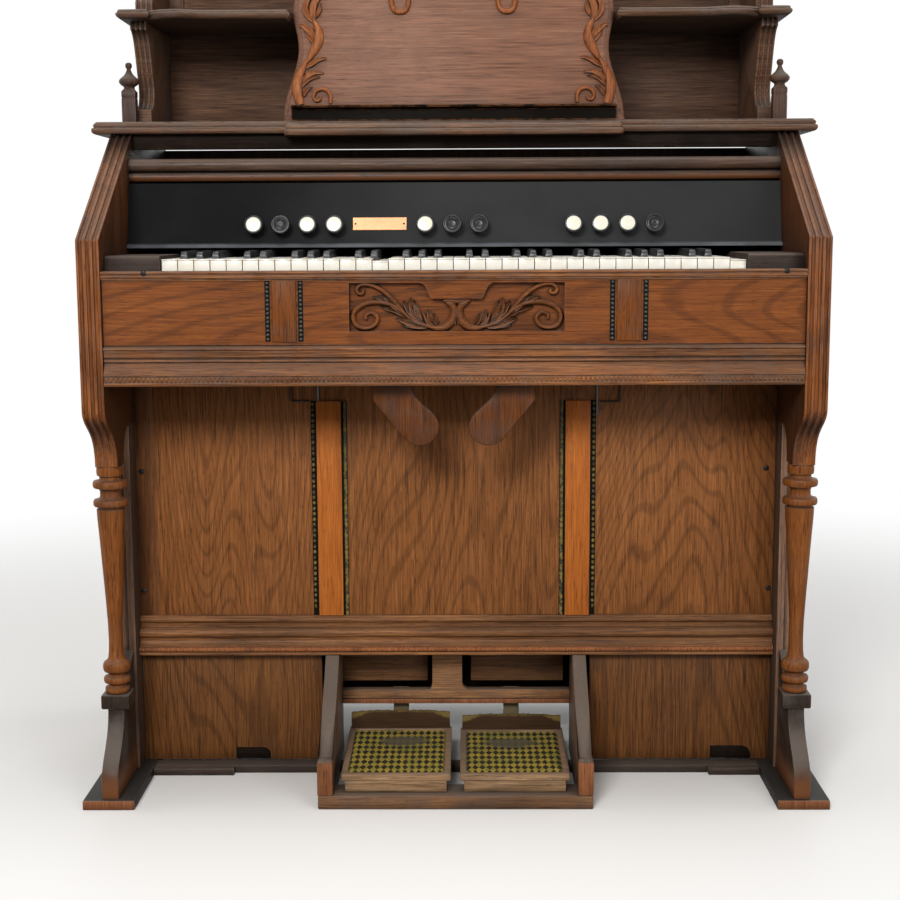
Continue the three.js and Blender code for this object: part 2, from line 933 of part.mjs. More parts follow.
function mainShelf() {
  const edge = shelfThickness / 2;
  const side = new THREE.Shape();
  side.moveTo(caseDepth, shelfUnder);
  side.lineTo(caseDepth, shelfTop);
  side.lineTo(shelfFront + edge, shelfTop);
  side.absarc(shelfFront + edge, shelfTop - edge, edge, Math.PI / 2, Math.PI * 1.5, false);
  const board = alongX(side, [-shelfHalfWidth, shelfHalfWidth]);
  const plan = new THREE.Shape();
  plan.moveTo(-breakHalfWidth, shelfFront + breakRound);
  plan.quadraticCurveTo(-breakHalfWidth, breakFront, breakRound - breakHalfWidth, breakFront);
  plan.lineTo(breakHalfWidth - breakRound, breakFront);
  plan.quadraticCurveTo(breakHalfWidth, breakFront, breakHalfWidth, shelfFront + breakRound);
  const front = alongZ(plan, [shelfUnder - breakDrop, shelfTop - breakDrop]);
  const frieze = slab(
    [-insideHalf, insideHalf],
    [friezeDepth, friezeDepth + friezeThickness],
    [shelfUnder - friezeHeight, shelfUnder + overrun],
  );
  return joined([board, front, frieze]);
}

// The bracket-shaped end between the shelves, with an S-curved front edge: shares of its run and rise.
const upperEndShares = {
  lip: [0, 0.125],
  hollow: [0.5, 0.25],
  belly: [0, 0.5],
  waist: [0.33, 0.64],
  toe: [0.6, 0.84],
};

function upperEndOutline(inset) {
  const low = shelfTop + fit;
  const high = upperShelfUnder - fit;
  const rise = high - low;
  const run = upperEndBottomDepth - upperEndTopDepth;
  const at = ([depthShare, dropShare]) => [
    upperEndTopDepth + inset + run * depthShare,
    high - rise * dropShare,
  ];
  const { lip, hollow, belly, waist, toe } = upperEndShares;
  const shape = new THREE.Shape();
  shape.moveTo(upperEndRear, low);
  shape.lineTo(upperEndRear, high);
  shape.lineTo(upperEndTopDepth + inset, high);
  shape.lineTo(...at(lip));
  shape.bezierCurveTo(...at(hollow), ...at(belly), ...at(waist));
  shape.quadraticCurveTo(...at(toe), upperEndBottomDepth + inset, low);
  return shape;
}

function upperEnd() {
  return flutedBoard(upperEndOutline, [upperEndInner, upperEndOuter]);
}

// The upper shelf from above: square tips, a bulge beside each and a notch behind the desk.
function upperShelf() {
  const half = new THREE.Shape();
  const tip = upperShelfHalfWidth - upperShelfTipWidth;
  const wave = tip - upperShelfWave;
  const straight = upperShelfFront + upperShelfBulge;
  half.moveTo(0, caseDepth);
  half.lineTo(0, deskNotchDepth);
  half.lineTo(deskNotchHalfWidth, deskNotchDepth);
  half.lineTo(deskNotchHalfWidth, straight);
  half.lineTo(wave, straight);
  half.bezierCurveTo(
    wave + upperShelfWave / 4,
    upperShelfFront,
    tip - upperShelfWave / 4,
    upperShelfFront - upperShelfBulge / 2,
    tip,
    straight + upperShelfBulge / 4,
  );
  half.lineTo(tip, upperShelfFront);
  half.lineTo(upperShelfHalfWidth, upperShelfFront + upperShelfBulge / 2);
  half.lineTo(upperShelfHalfWidth, caseDepth);
  const right = alongZ(half, [upperShelfUnder, upperShelfTop]);
  return joined([right, mirrored(right)]);
}

function raisedPanel([x0, x1], [z0, z1]) {
  return slab(
    [x0 + upperPanelMargin, x1 - upperPanelMargin],
    [upperBackDepth - upperPanelProud, upperBackDepth + overrun],
    [z0 + upperPanelMargin / 2, z1 - upperPanelMargin / 2],
  );
}

function upperBack() {
  const heights = [shelfTop + fit, upperShelfUnder - fit];
  const half = upperEndInner - fit;
  const board = slab([-half, half], [upperBackDepth, upperBackDepth + upperBackThickness], heights);
  const panels = [
    [-half, -deskHalfWidth],
    [deskHalfWidth, half],
  ].map((ends) => raisedPanel(ends, heights));
  return joined([board, ...panels]);
}

// The turning on the post, as shares of its radius and height: its foot, a ball and the parts above it.
const finialFootShares = [
  [0.7, 0],
  [0.7, 0.06],
];
const finialBallShares = [0.1, 0.4, 0.67, 1];
const finialTipShares = [
  [0.33, 0.52],
  [0.5, 0.6],
  [0.33, 0.66],
  [0.37, 0.74],
  [0.43, 0.86],
];

function finial() {
  const bottom = shelfTop + fit;
  const top = bottom + postHeight;
  const post = slab(
    [postOffset - postWidth / 2, postOffset + postWidth / 2],
    [upperEndTopDepth - postWidth / 2, upperEndTopDepth + postWidth / 2],
    [bottom, top],
  );
  const turnedPoint = ([radius, height]) => [finialRadius * radius, top + finialHeight * height];
  const [low, high, neck, crown] = finialBallShares;
  const ball = bead(
    top + finialHeight * low,
    top + finialHeight * high,
    finialRadius * neck,
    finialRadius * crown,
  );
  const profile = [
    [0, top - overrun],
    [finialRadius * finialFootShares[0][0], top - overrun],
    ...finialFootShares.map(turnedPoint),
    ...ball,
    ...finialTipShares.map(turnedPoint),
    [0, top + finialHeight],
  ];
  const turned = lathe(profile, stopSteps);
  turned.translate(postOffset, upperEndTopDepth, 0);
  return joined([post, solidOf(turned)]);
}

// Half of the crest's upper edge, as shares of its half width and of its height.
const crestEndShare = 0.6;
const crestShoulderShares = [0.86, 0.7, 0.5];
const crestShares = {
  hollow: [0.44, 0.3],
  cheek: [0.36, 0.55],
  temple: [0.3, 0.82],
  brow: [0.17, 0.9],
  crown: [0.08, 1],
};

function crestOutline(halfWidth, base) {
  const shoulder = base + crestShoulder;
  const at = ([across, up]) => [halfWidth * across, base + crestHeight * up];
  const [drop, level, turn] = crestShoulderShares.map((share) => halfWidth * share);
  const { hollow, cheek, temple, brow, crown } = crestShares;
  const shape = new THREE.Shape();
  shape.moveTo(0, base - overrun);
  shape.lineTo(halfWidth, base - overrun);
  shape.lineTo(halfWidth, base + crestShoulder * crestEndShare);
  shape.quadraticCurveTo(drop, shoulder, level, shoulder);
  shape.bezierCurveTo(turn, shoulder, ...at(hollow), ...at(cheek));
  shape.quadraticCurveTo(...at(temple), ...at(brow));
  shape.quadraticCurveTo(...at(crown), 0, base + crestHeight);
  return shape;
}

// The turned discs on the crest: places and sizes as shares of the named ones.
const crestDiscShares = [
  { across: -1, up: 0.12, radius: 1 },
  { across: 0, up: 0.62, radius: 1.3 },
  { across: 1, up: 0.12, radius: 1 },
];
const crestDiscRimShare = 0.7;

// The hollow front edge of the gallery's ends, as shares of its run and rise.
const galleryEndShares = {
  lip: [0, 0.125],
  upper: [1, 0.25],
  lower: [1.4, 0.5],
  toe: [0.5, 0.8],
  foot: [0, 0.875],
};

// Gallery: ends, back and cornice on the upper shelf, with a scrolled crest above.
function gallery() {
  const bottom = upperShelfTop + fit;
  const back = upperBackDepth + upperBackThickness;
  const ends = [-1, 1].map((side) => {
    const edges = [side * upperEndOuter, side * (upperEndOuter - galleryEndWidth)];
    const sideShape = new THREE.Shape();
    const rise = galleryTop - bottom;
    const run = (upperBackDepth - galleryEndFront) / 2;
    const at = ([depthShare, dropShare]) => [
      galleryEndFront + run * depthShare,
      galleryTop - rise * dropShare,
    ];
    const { lip, upper, lower, toe, foot } = galleryEndShares;
    sideShape.moveTo(back, bottom);
    sideShape.lineTo(back, galleryTop + overrun);
    sideShape.lineTo(galleryEndFront, galleryTop + overrun);
    sideShape.lineTo(...at(lip));
    sideShape.bezierCurveTo(...at(upper), ...at(lower), ...at(toe));
    sideShape.lineTo(...at(foot));
    sideShape.lineTo(galleryEndFront, bottom);
    return alongX(
      sideShape,
      edges.sort((a, b) => a - b),
    );
  });
  const half = upperEndOuter - galleryEndWidth / 2;
  const board = slab([-half, half], [upperBackDepth, back], [bottom, galleryTop + overrun]);
  const inside = upperEndOuter - galleryEndWidth;
  const third = inside / 3;
  const panels = [
    [-inside, -third],
    [-third, third],
    [third, inside],
  ].map((span) => raisedPanel(span, [bottom, galleryTop]));
  const front = galleryEndFront - corniceOverhang;
  const cornice = alongX(
    outline([
      [back, galleryTop],
      [back, galleryTop + corniceHeight],
      [front, galleryTop + corniceHeight],
      [front, galleryTop + corniceHeight / 2],
      [galleryEndFront, galleryTop],
    ]),
    [-upperEndOuter - corniceOverhang, upperEndOuter + corniceOverhang],
  );
  const base = galleryTop + corniceHeight;
  const right = alongY(crestOutline(upperEndOuter - galleryEndWidth, base), [back - crestThickness, back]);
  const discs = crestDiscShares.map((place) => {
    const radius = crestScrollRadius * place.radius;
    const profile = [
      [0, 0],
      [radius, 0],
      [radius, crestThickness / 3],
      [radius * crestDiscRimShare, crestThickness / 2],
      [0, crestThickness / 2],
    ];
    const disc = lathe(profile, roundSteps);
    disc.rotateX(Math.PI / 2);
    disc.translate(
      place.across * crestScrollOffset,
      back - crestThickness + overrun,
      base + crestHeight * place.up,
    );
    return solidOf(disc);
  });
  return joined([...ends, board, ...panels, cornice, right, mirrored(right), ...discs]);
}

// Half of the desk's edge from the foot up: widths as shares of its half width, heights of its height.
const deskEdgeShares = [
  [1, 0],
  [0.99, 0.08],
  [0.961, 0.165],
  [0.923, 0.258],
  [0.907, 0.332],
  [0.914, 0.404],
  [0.936, 0.497],
  [0.93, 0.565],
  [0.9, 0.64],
  [0.85, 0.71],
  [0.76, 0.765],
  [0.62, 0.79],
  [0.48, 0.855],
  [0.3, 0.96],
  [0.14, 1],
  [0, 1],
];
const deskLedgeLipShare = 0.8;

function musicDesk() {
  const foot = shelfTop + fit;
  const right = deskEdgeShares.map(([x, z]) => [deskHalfWidth * x, deskHeight * z]);
  const left = right.slice(0, -1).map(([x, z]) => [-x, z]);
  const board = alongY(outline([...right, ...left.reverse()]), [0, deskThickness]);
  const leaning = board.transform([1, 0, 0, 0, 0, 1, 0, 0, 0, deskLean, 1, 0, 0, deskFoot, foot, 1]);
  const ledgeSide = outline([
    [deskFoot - deskLedgeDepth + deskLedgeDepth / 3, foot],
    [deskFoot + overrun, foot],
    [deskFoot + overrun, foot + deskLedgeHeight],
    [deskFoot - deskLedgeDepth, foot + deskLedgeHeight],
    [deskFoot - deskLedgeDepth, foot + deskLedgeHeight * deskLedgeLipShare],
  ]);
  const ledge = alongX(ledgeSide, [-deskLedgeHalfWidth, deskLedgeHalfWidth]);
  return joined([leaning, ledge]);
}

// Pedals

const pedalCheekShares = [1.5, 1.8];

function pedalFrame() {
  const sill = slab(
    [-sillHalfWidth, sillHalfWidth],
    [sillFront, sillFront + sillDepth],
    [0, sillHeight],
  );
  const rear = bellowsRailFront + bellowsRailThickness;
  const top = railBottom - fit;
  const side = new THREE.Shape();
  side.moveTo(sillFront, 0);
  side.lineTo(toeFront - fit, 0);
  side.lineTo(toeFront - fit, toeHeight + fit);
  side.lineTo(rear, toeHeight + fit);
  side.lineTo(rear, top);
  side.lineTo(railFront, top);
  side.bezierCurveTo(
    railFront - sillDepth / 2,
    top - pedalCheekToe / 2,
    sillFront + sillDepth * pedalCheekShares[0],
    pedalCheekToe * pedalCheekShares[1],
    sillFront + sillDepth / 2,
    pedalCheekToe,
  );
  side.lineTo(sillFront, pedalCheekToe);
  const cheeks = [-1, 1].map((hand) => {
    const edges = [hand * sillHalfWidth, hand * (sillHalfWidth - cheekBoardThickness)];
    return alongX(
      side,
      edges.sort((a, b) => a - b),
    );
  });
  const across = [bellowsRailFront, rear];
  const rail = slab([-sillHalfWidth, sillHalfWidth], across, [
    bellowsRailBottom,
    bellowsRailBottom + bellowsRailHeight,
  ]);
  const spine = slab([-spineHalfWidth - spineShift, spineHalfWidth - spineShift], across, [
    bellowsRailBottom,
    spineTop,
  ]);
  return joined([sill, ...cheeks, rail, spine]);
}

function pedal() {
  const outer = pedalInner + pedalWidth;
  const middle = pedalInner + pedalWidth / 2;
  const under = pedalTop - pedalBoard;
  const board = slab([pedalInner, outer], [pedalNose, pedalRear], [under, pedalTop]);
  const recess = slab(
    [pedalInner + pedalBorder, outer - pedalBorder],
    [pedalNose + pedalBorder, flapFront - pedalBorder / 2],
    [pedalTop - pedalRecess, pedalTop + overrun],
  );
  const apron = slab(
    [pedalInner + pedalApronInset, outer - pedalApronInset],
    [pedalApronFront, pedalApronFront + pedalApronDepth],
    [pedalHingeHeight, under + overrun],
  );
  const flap = slab(
    [pedalInner + pedalApronInset / 2, outer - pedalApronInset / 2],
    [flapFront, flapFront + flapThickness],
    [under, pedalTop + flapHeight],
  );
  const tab = slab(
    [middle - tabWidth / 2, middle + tabWidth / 2],
    [flapFront, tabRear],
    [under, under + tabThickness],
  );
  return joined([without(board, [recess]), apron, flap, tab]);
}

// The strap from the pedal's tab up behind the rail, over which it runs to the exhauster.
function strap() {
  const middle = pedalInner + pedalWidth / 2;
  const front = bellowsRailFront + bellowsRailThickness + fit;
  return slab(
    [middle - strapWidth / 2, middle + strapWidth / 2],
    [front, front + strapThickness],
    [pedalTop - pedalBoard + tabThickness + fit, bellowsRailBottom + bellowsRailHeight],
  );
}

// Bellows and wind chest

// One of two hinged boards, whose pair sits a little to the left of the middle.
function exhauster(hand) {
  const board = new THREE.BoxGeometry(exhausterWidth, exhausterThickness, exhausterLength);
  board.translate(0, 0, -exhausterLength / 2);
  board.rotateX(-exhausterTilt);
  const centre = hand * (exhausterInner + exhausterWidth / 2) - exhausterShift;
  board.translate(centre, exhausterHingeDepth, exhausterHingeHeight);
  return solidOf(board);
}

function reservoir() {
  const front = bellowsBoardDepth;
  const back = bellowsBoardRear;
  const boardHalf = insideHalf - bellowsSideRoom;
  const foldHalf = insideHalf - foldSideRoom;
  const board = slab([-boardHalf, boardHalf], [front, back], [bellowsBoardFoot, keyBedUnder - fit]);
  const cleatBottom = exhausterHingeHeight + fit * 4;
  const cleatHalf = exhausterInner + exhausterWidth;
  const cleat = slab(
    [-cleatHalf - exhausterShift, cleatHalf - exhausterShift],
    [front - hingeCleatDepth, front + overrun],
    [cleatBottom, cleatBottom + hingeCleatHeight],
  );
  const folds = [];
  for (let i = 0; i < foldCount; i += 1) {
    const sheet = new THREE.Shape();
    sheet.moveTo(-foldHalf, foldBottom);
    sheet.lineTo(foldHalf, foldBottom);
    sheet.lineTo(foldHalf, foldBottom + foldHeight);
    sheet.lineTo(-foldHalf, foldBottom + foldHeight);
    const settings = {
      depth: fit,
      bevelThickness: foldDepth / 2,
      bevelSize: foldInset,
      bevelOffset: -foldInset,
      bevelSegments: 1,
    };
    const fold = new THREE.ExtrudeGeometry(sheet, settings);
    fold.applyMatrix4(
      new THREE.Matrix4().makeBasis(axisX, axisZ, axisY.clone().negate()),
    );
    fold.translate(0, back + foldDepth * (i + 1 / 2), 0);
    folds.push(solidOf(fold));
  }
  const end = back + foldDepth * foldCount;
  const moving = slab(
    [-foldHalf, foldHalf],
    [end - overrun, end + bellowsBoardThickness],
    [foldBottom, foldBottom + foldHeight],
  );
  return joined([board, cleat, ...folds, moving]);
}

function windchest() {
  const half = insideHalf - windchestSideRoom;
  return slab(
    [-half, half],
    [windchestFront, windchestFront + windchestDepth],
    [keyBedTop + fit, keyFrameFoot - fit],
  );
}

// A knee lever: a neck under the key bed and the round paddle that the knee pushes outward.
// The shares are of the paddle's radius. The last is of a half turn: where its round stops short.
const leverNeckShare = 1.9;
const leverWaistShares = [0.83, 1.05];
const leverHeelShare = 1.4;
const leverStopShare = 0.2;

function kneeLever() {
  const shape = new THREE.Shape();
  const tangent = Math.PI * leverStopShare;
  shape.moveTo(leverNeckInner, leverTop);
  shape.bezierCurveTo(
    leverNeckInner,
    leverTop - leverRadius * leverNeckShare,
    leverOffset - leverRadius * leverWaistShares[0],
    leverCentre + leverRadius * leverWaistShares[1],
    leverOffset - leverRadius,
    leverCentre,
  );
  shape.absarc(leverOffset, leverCentre, leverRadius, Math.PI, Math.PI * 2 - tangent, false);
  shape.lineTo(leverNeckOuter, leverTop - leverRadius * leverHeelShare);
  shape.lineTo(leverNeckOuter, leverTop);
  return alongY(shape, [leverDepth, leverDepth + leverThickness]);
}

addPair("end_board", endBoard(), wood);
addPair("column", column(), litWood);
addPair("foot", foot(), darkWood);
addPair("kick_panel", kickPanel(), wood);
addNode("toe_board", toeBoard(), darkWood);
addNode("lower_rail", lowerRail(), wood);
addNode("lower_front_panel", lowerFrontPanel(), wood);
addNode("back_board", backBoard(), wood);
addNode("key_bed", keyBed(), darkWood);
addNode("keyslip", keyslip(), litWood);
addNode("main_shelf", mainShelf(), darkWood);
addPair("upper_end", upperEnd(), darkWood);
addNode("upper_shelf", upperShelf(), darkWood);
addNode("upper_back", upperBack(), wood);
addNode("gallery", gallery(), wood);
addPair("finial", finial(), darkWood);
addNode("music_desk", musicDesk(), wood);
addNode("stop_board", stopBoard(), ebonised);
stopPlaces().forEach((x, i) => addNode("stop_" + (i + 1), stopKnob(x), ebonised));
addNode("fallboard", fallboard(), darkWood);
addNode("key_frame", keyFrame(), ivory);
for (let i = 0; i < sharpAfter.length; i += 1) {
  const index = movingOctaveFirst + i;
  addNode("key_" + noteNames[i], natural(index, 0), ivory);
  if (hasSharp(index)) addNode("key_" + noteNames[i] + "_sharp", sharp(index), ebonised);
}
addNode("windchest", windchest(), paleWood);
addNode("reservoir", reservoir(), canvas);
addNode("exhauster_right", exhauster(1), paleWood);
addNode("exhauster_left", exhauster(-1), paleWood);
addNode("pedal_frame", pedalFrame(), darkWood);
addPair("pedal", pedal(), paleWood);
addPair("strap", strap(), canvas);
addPair("knee_lever", kneeLever(), wood);

export default organ;
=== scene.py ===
import math
import random

import bmesh
import bpy
from mathutils import Matrix, Vector
from mathutils.geometry import interpolate_bezier


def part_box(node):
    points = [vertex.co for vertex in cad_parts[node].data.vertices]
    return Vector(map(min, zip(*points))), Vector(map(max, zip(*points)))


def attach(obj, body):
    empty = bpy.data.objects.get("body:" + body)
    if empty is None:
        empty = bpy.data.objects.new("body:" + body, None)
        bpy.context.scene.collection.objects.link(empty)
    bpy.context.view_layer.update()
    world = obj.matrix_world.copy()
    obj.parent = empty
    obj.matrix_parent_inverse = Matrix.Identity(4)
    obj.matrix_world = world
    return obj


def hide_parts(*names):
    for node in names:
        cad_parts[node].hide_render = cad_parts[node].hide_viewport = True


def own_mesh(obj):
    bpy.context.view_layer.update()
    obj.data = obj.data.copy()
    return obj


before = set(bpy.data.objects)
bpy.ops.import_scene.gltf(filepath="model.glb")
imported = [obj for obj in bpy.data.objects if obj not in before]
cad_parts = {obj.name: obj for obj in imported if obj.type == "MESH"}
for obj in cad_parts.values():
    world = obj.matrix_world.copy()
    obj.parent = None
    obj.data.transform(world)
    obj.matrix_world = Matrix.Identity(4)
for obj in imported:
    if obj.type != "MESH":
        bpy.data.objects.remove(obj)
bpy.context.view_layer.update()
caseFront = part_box("end_board_left")[0].y  # depths are measured back from here
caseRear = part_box("end_board_left")[1].y
random.seed(11)


# Shapes

def acrossPlace(depth, height, x):
    return Vector((x, caseFront + depth, height))  # an outline in depth and height, run across the organ


def frontPlace(x, height, depth):
    return Vector((x, caseFront + depth, height))  # an outline seen from the front, run backwards


def planPlace(x, depth, height):
    return Vector((x, caseFront + depth, height))  # an outline seen from above, run upwards


def signedArea(points):
    return sum(a.x * b.y - b.x * a.y for a, b in zip(points, points[1:] + points[:1])) / 2


def insetOutline(points, inset, weights=None):
    # Each point moves inwards along the mitre of its two edges.
    if inset == 0:
        return points
    turn = 1 if signedArea(points) > 0 else -1
    moved = []
    for i, here in enumerate(points):
        into = (here - points[i - 1]).normalized()
        out = (points[(i + 1) % len(points)] - here).normalized()
        first = Vector((-into.y, into.x)) * turn
        mitre = first + Vector((-out.y, out.x)) * turn
        mitre = mitre.normalized() if mitre.length > 1e-6 else first
        share = inset / max(0.4, mitre.dot(first))
        moved.append(here + mitre * share * (weights[i] if weights else 1))
    return moved


def sweptInto(bm, stations, caps=True):
    # The first station's points are joined by edges, which are extruded from station to station.
    ring = [bm.verts.new(point) for point in stations[0]]
    edges = [bm.edges.new(pair) for pair in zip(ring, ring[1:] + ring[:1])]
    if caps:
        bm.faces.new(ring)
    for station in stations[1:]:
        made = bmesh.ops.extrude_edge_only(bm, edges=edges)["geom"]
        new = {part for part in made if isinstance(part, bmesh.types.BMVert)}
        follows = {}
        for vert in ring:
            for edge in vert.link_edges:
                other = edge.other_vert(vert)
                if other in new:
                    follows[vert] = other
        ring = [follows[vert] for vert in ring]
        for vert, point in zip(ring, station):
            vert.co = point
        edges = [bm.edges.get(pair) for pair in zip(ring, ring[1:] + ring[:1])]
    if caps:
        bm.faces.new(ring)


def layeredInto(bm, outline, layers, place, weights=None):
    # An outline stacked in layers, each a height and an inset, so that its edge is moulded.
    points = [Vector(point) for point in outline]
    sweptInto(bm, [[place(p.x, p.y, height) for p in insetOutline(points, inset, weights)] for height,
                   inset in layers])


def mouldingInto(bm, profile, ends):
    # A profile in depth and height, run straight across from end to end.
    layeredInto(bm, profile, [(x, 0) for x in ends], acrossPlace)


def rectangle(xs, ys):
    return [(xs[0], ys[0]), (xs[1], ys[0]), (xs[1], ys[1]), (xs[0], ys[1])]


def mirrored(right):
    # A whole outline from its right half, which starts and ends beside the middle.
    return [(-x, y) for x, y in right][::-1] + right


def easedLayers(low, high, ease):
    # The layers of a board whose two rims are rounded over.
    third = ease * 0.3
    return [(low, ease), (low + third, third), (low + ease, 0), (high - ease, 0), (high - third, third),
            (high, ease)]


def plateInto(bm, outline, ends, place, ease=0.0012):
    layeredInto(bm, outline, easedLayers(min(ends), max(ends), ease), place)


def boxInto(bm, low, high, ease=0.0012):
    low, high = Vector(low), Vector(high)
    verts = bmesh.ops.create_cube(bm, size=1)["verts"]
    bmesh.ops.scale(bm, vec=high - low, verts=verts)
    bmesh.ops.translate(bm, vec=(low + high) / 2, verts=verts)
    if ease:
        edges = list({edge for vert in verts for edge in vert.link_edges})
        bmesh.ops.bevel(bm, geom=edges, offset=ease, segments=2, profile=0.5,
                        affect="EDGES", material=-1, clamp_overlap=True)


def slabInto(bm, xs, depths, heights, ease=0.0012):
    boxInto(bm, (min(xs), caseFront + depths[0], heights[0]), (max(xs), caseFront + depths[1], heights[1]),
            ease)


def turnedInto(bm, profile, centre, along, side, steps=40):
    # A profile of radius and height spun about its axis.
    along, side = Vector(along).normalized(), Vector(side).normalized()
    verts = [bm.verts.new(Vector(centre) + side * radius + along * height) for radius, height in profile]
    edges = [bm.edges.new(pair) for pair in zip(verts, verts[1:])]
    bmesh.ops.spin(bm, geom=verts + edges, cent=centre, axis=along, angle=2 * math.pi, steps=steps,
                   use_merge=True)


def arc(centre, radius, start, end, steps):
    points = []
    for i in range(steps + 1):
        angle = math.radians(start + (end - start) * i / steps)
        points.append((centre[0] + radius * math.cos(angle), centre[1] + radius * math.sin(angle)))
    return points


def bezier(start, first, second, end, steps):
    corners = [Vector((point[0], point[1], 0)) for point in (start, first, second, end)]
    return [(point.x, point.y) for point in interpolate_bezier(*corners, steps)]


def smoothPath(points, steps=5):
    # A curve through all the points, by way of a handle on each side of every point.
    points = [Vector((point[0], point[1], 0)) for point in points]
    path = []
    for i in range(len(points) - 1):
        before = points[max(0, i - 1)]
        after = points[min(len(points) - 1, i + 2)]
        first = points[i] + (points[i + 1] - before) / 6
        second = points[i + 1] - (after - points[i]) / 6
        path += interpolate_bezier(points[i], first, second, points[i + 1], steps)[:-1]
    return [Vector((p.x, p.y)) for p in path + [points[-1]]]


# the sections of a carved stroke, as shares of half its width and of its height
sections = {
    "stem": [(-1, -0.3), (-0.96, 0.2), (-0.7, 0.72), (-0.3, 0.97), (0, 1), (0.3, 0.97), (0.7, 0.72),
             (0.96, 0.2), (1, -0.3)],
    "leaf": [(-1, -0.3), (-0.95, 0.35), (-0.72, 0.8), (-0.4, 0.62), (0, 0.5), (0.4, 0.85), (0.68, 1),
             (0.94, 0.5), (1, -0.3)],
}


def strokeInto(bm, path, width, height, place, section, start=0.3, end=0.1, swell=0.35):
    # One carved stroke: a section drawn along a path, thin at its ends and full at the share called swell.
    stations = []
    last = len(path) - 1
    for i, here in enumerate(path):
        share = i / last
        ahead = (path[min(last, i + 1)] - path[max(0, i - 1)]).normalized()
        aside = Vector((-ahead.y, ahead.x))
        if share < swell:
            full = start + (1 - start) * math.sin(math.pi / 2 * share / swell)
        else:
            full = end + (1 - end) * math.cos(math.pi / 2 * (share - swell) / (1 - swell))
        stations.append([place(*(here + aside * u * width / 2 * full), v * height * (0.45 + 0.55 * full))
                         for u, v in section])
    sweptInto(bm, stations)


def tubeInto(bm, path, radius):
    # A round bar along a path of points in space.
    path = [Vector(point) for point in path]
    stations, sides = [], 8
    for i, here in enumerate(path):
        ahead = (path[min(len(path) - 1, i + 1)] - path[max(0, i - 1)]).normalized()
        side = ahead.cross(Vector((0, 0, 1)) if abs(ahead.z) < 0.9 else Vector((0, 1, 0))).normalized()
        up = side.cross(ahead)
        stations.append([here + side * radius * math.cos(a) + up * radius * math.sin(a)
                         for a in (2 * math.pi * k / sides for k in range(sides))])
    sweptInto(bm, stations)


def ropeInto(bm, start, end, radius, pitch, sides=10):
    # A twisted rope moulding of two strands between two points, with seven rings to each turn.
    strands, steps = 2, 7
    start, end = Vector(start), Vector(end)
    ahead = (end - start).normalized()
    side = Vector((0, 1, 0)) if abs(ahead.y) < 0.9 else Vector((1, 0, 0))
    up = side.cross(ahead)
    count = max(2, round((end - start).length / pitch * steps))
    stations = []
    for i in range(count + 1):
        centre = start.lerp(end, i / count)
        twist = 2 * math.pi * (end - start).length / pitch * i / count / strands
        ring = []
        for k in range(sides):
            angle = 2 * math.pi * k / sides
            reach = radius * (0.76 + 0.24 * abs(math.cos((angle + twist) * strands / 2)))
            ring.append(centre + side * reach * math.cos(angle) + up * reach * math.sin(angle))
        stations.append(ring)
    sweptInto(bm, stations)


def beadsInto(bm, start, end, size, pitch):
    # A row of turned beads, each a squashed ball of a few faces.
    start, end = Vector(start), Vector(end)
    count = round((end - start).length / pitch)
    for i in range(count):
        spot = Matrix.Translation(start.lerp(end, (i + 0.5) / count)) @ Matrix.Diagonal((*size, 1))
        bmesh.ops.create_uvsphere(bm, u_segments=8, v_segments=5, radius=1, matrix=spot)


def piece(name, bm, look, body="case", replaced=(), sharp=38):
    # A finished mesh becomes an object of the named material, riding on its body.
    bmesh.ops.remove_doubles(bm, verts=bm.verts, dist=2e-6)
    bmesh.ops.recalc_face_normals(bm, faces=bm.faces)
    mesh = bpy.data.meshes.new(name)
    bm.to_mesh(mesh)
    bm.free()
    mesh.shade_smooth()
    mesh.set_sharp_from_angle(angle=math.radians(sharp))
    made = bpy.data.objects.new(name, mesh)
    bpy.context.scene.collection.objects.link(made)
    mesh.materials.append(materials[look])
    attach(made, body)
    if replaced:
        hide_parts(*replaced)
    return made


def bothSides(make):
    for side, hand in ((-1, "left"), (1, "right")):
        make(side, hand)


# Materials

def toLinear(value):
    value /= 255
    return value / 12.92 if value <= 0.04045 else ((value + 0.055) / 1.055) ** 2.4


def paint(red, green, blue):
    return (toLinear(red), toLinear(green), toLinear(blue), 1)


class Plug:
    # A socket that can be added, multiplied and so on like a number.
    def __init__(self, recipe, socket):
        self.recipe = recipe
        self.socket = socket

    def maths(self, operation, other=None):
        inputs = {0: self} if other is None else {0: self, 1: other}
        return self.recipe.node("ShaderNodeMath", {"operation": operation}, inputs)

    def __add__(self, other):
        return self.maths("ADD", other)

    def __mul__(self, other):
        return self.maths("MULTIPLY", other)

    __radd__ = __add__
    __rmul__ = __mul__

    def __sub__(self, other):
        return self.maths("SUBTRACT", other)

    def __rsub__(self, other):
        return self.recipe.node("ShaderNodeMath", {"operation": "SUBTRACT"}, {0: other, 1: self})

    def clipped(self):
        return self.recipe.node("ShaderNodeClamp", inputs={0: self})


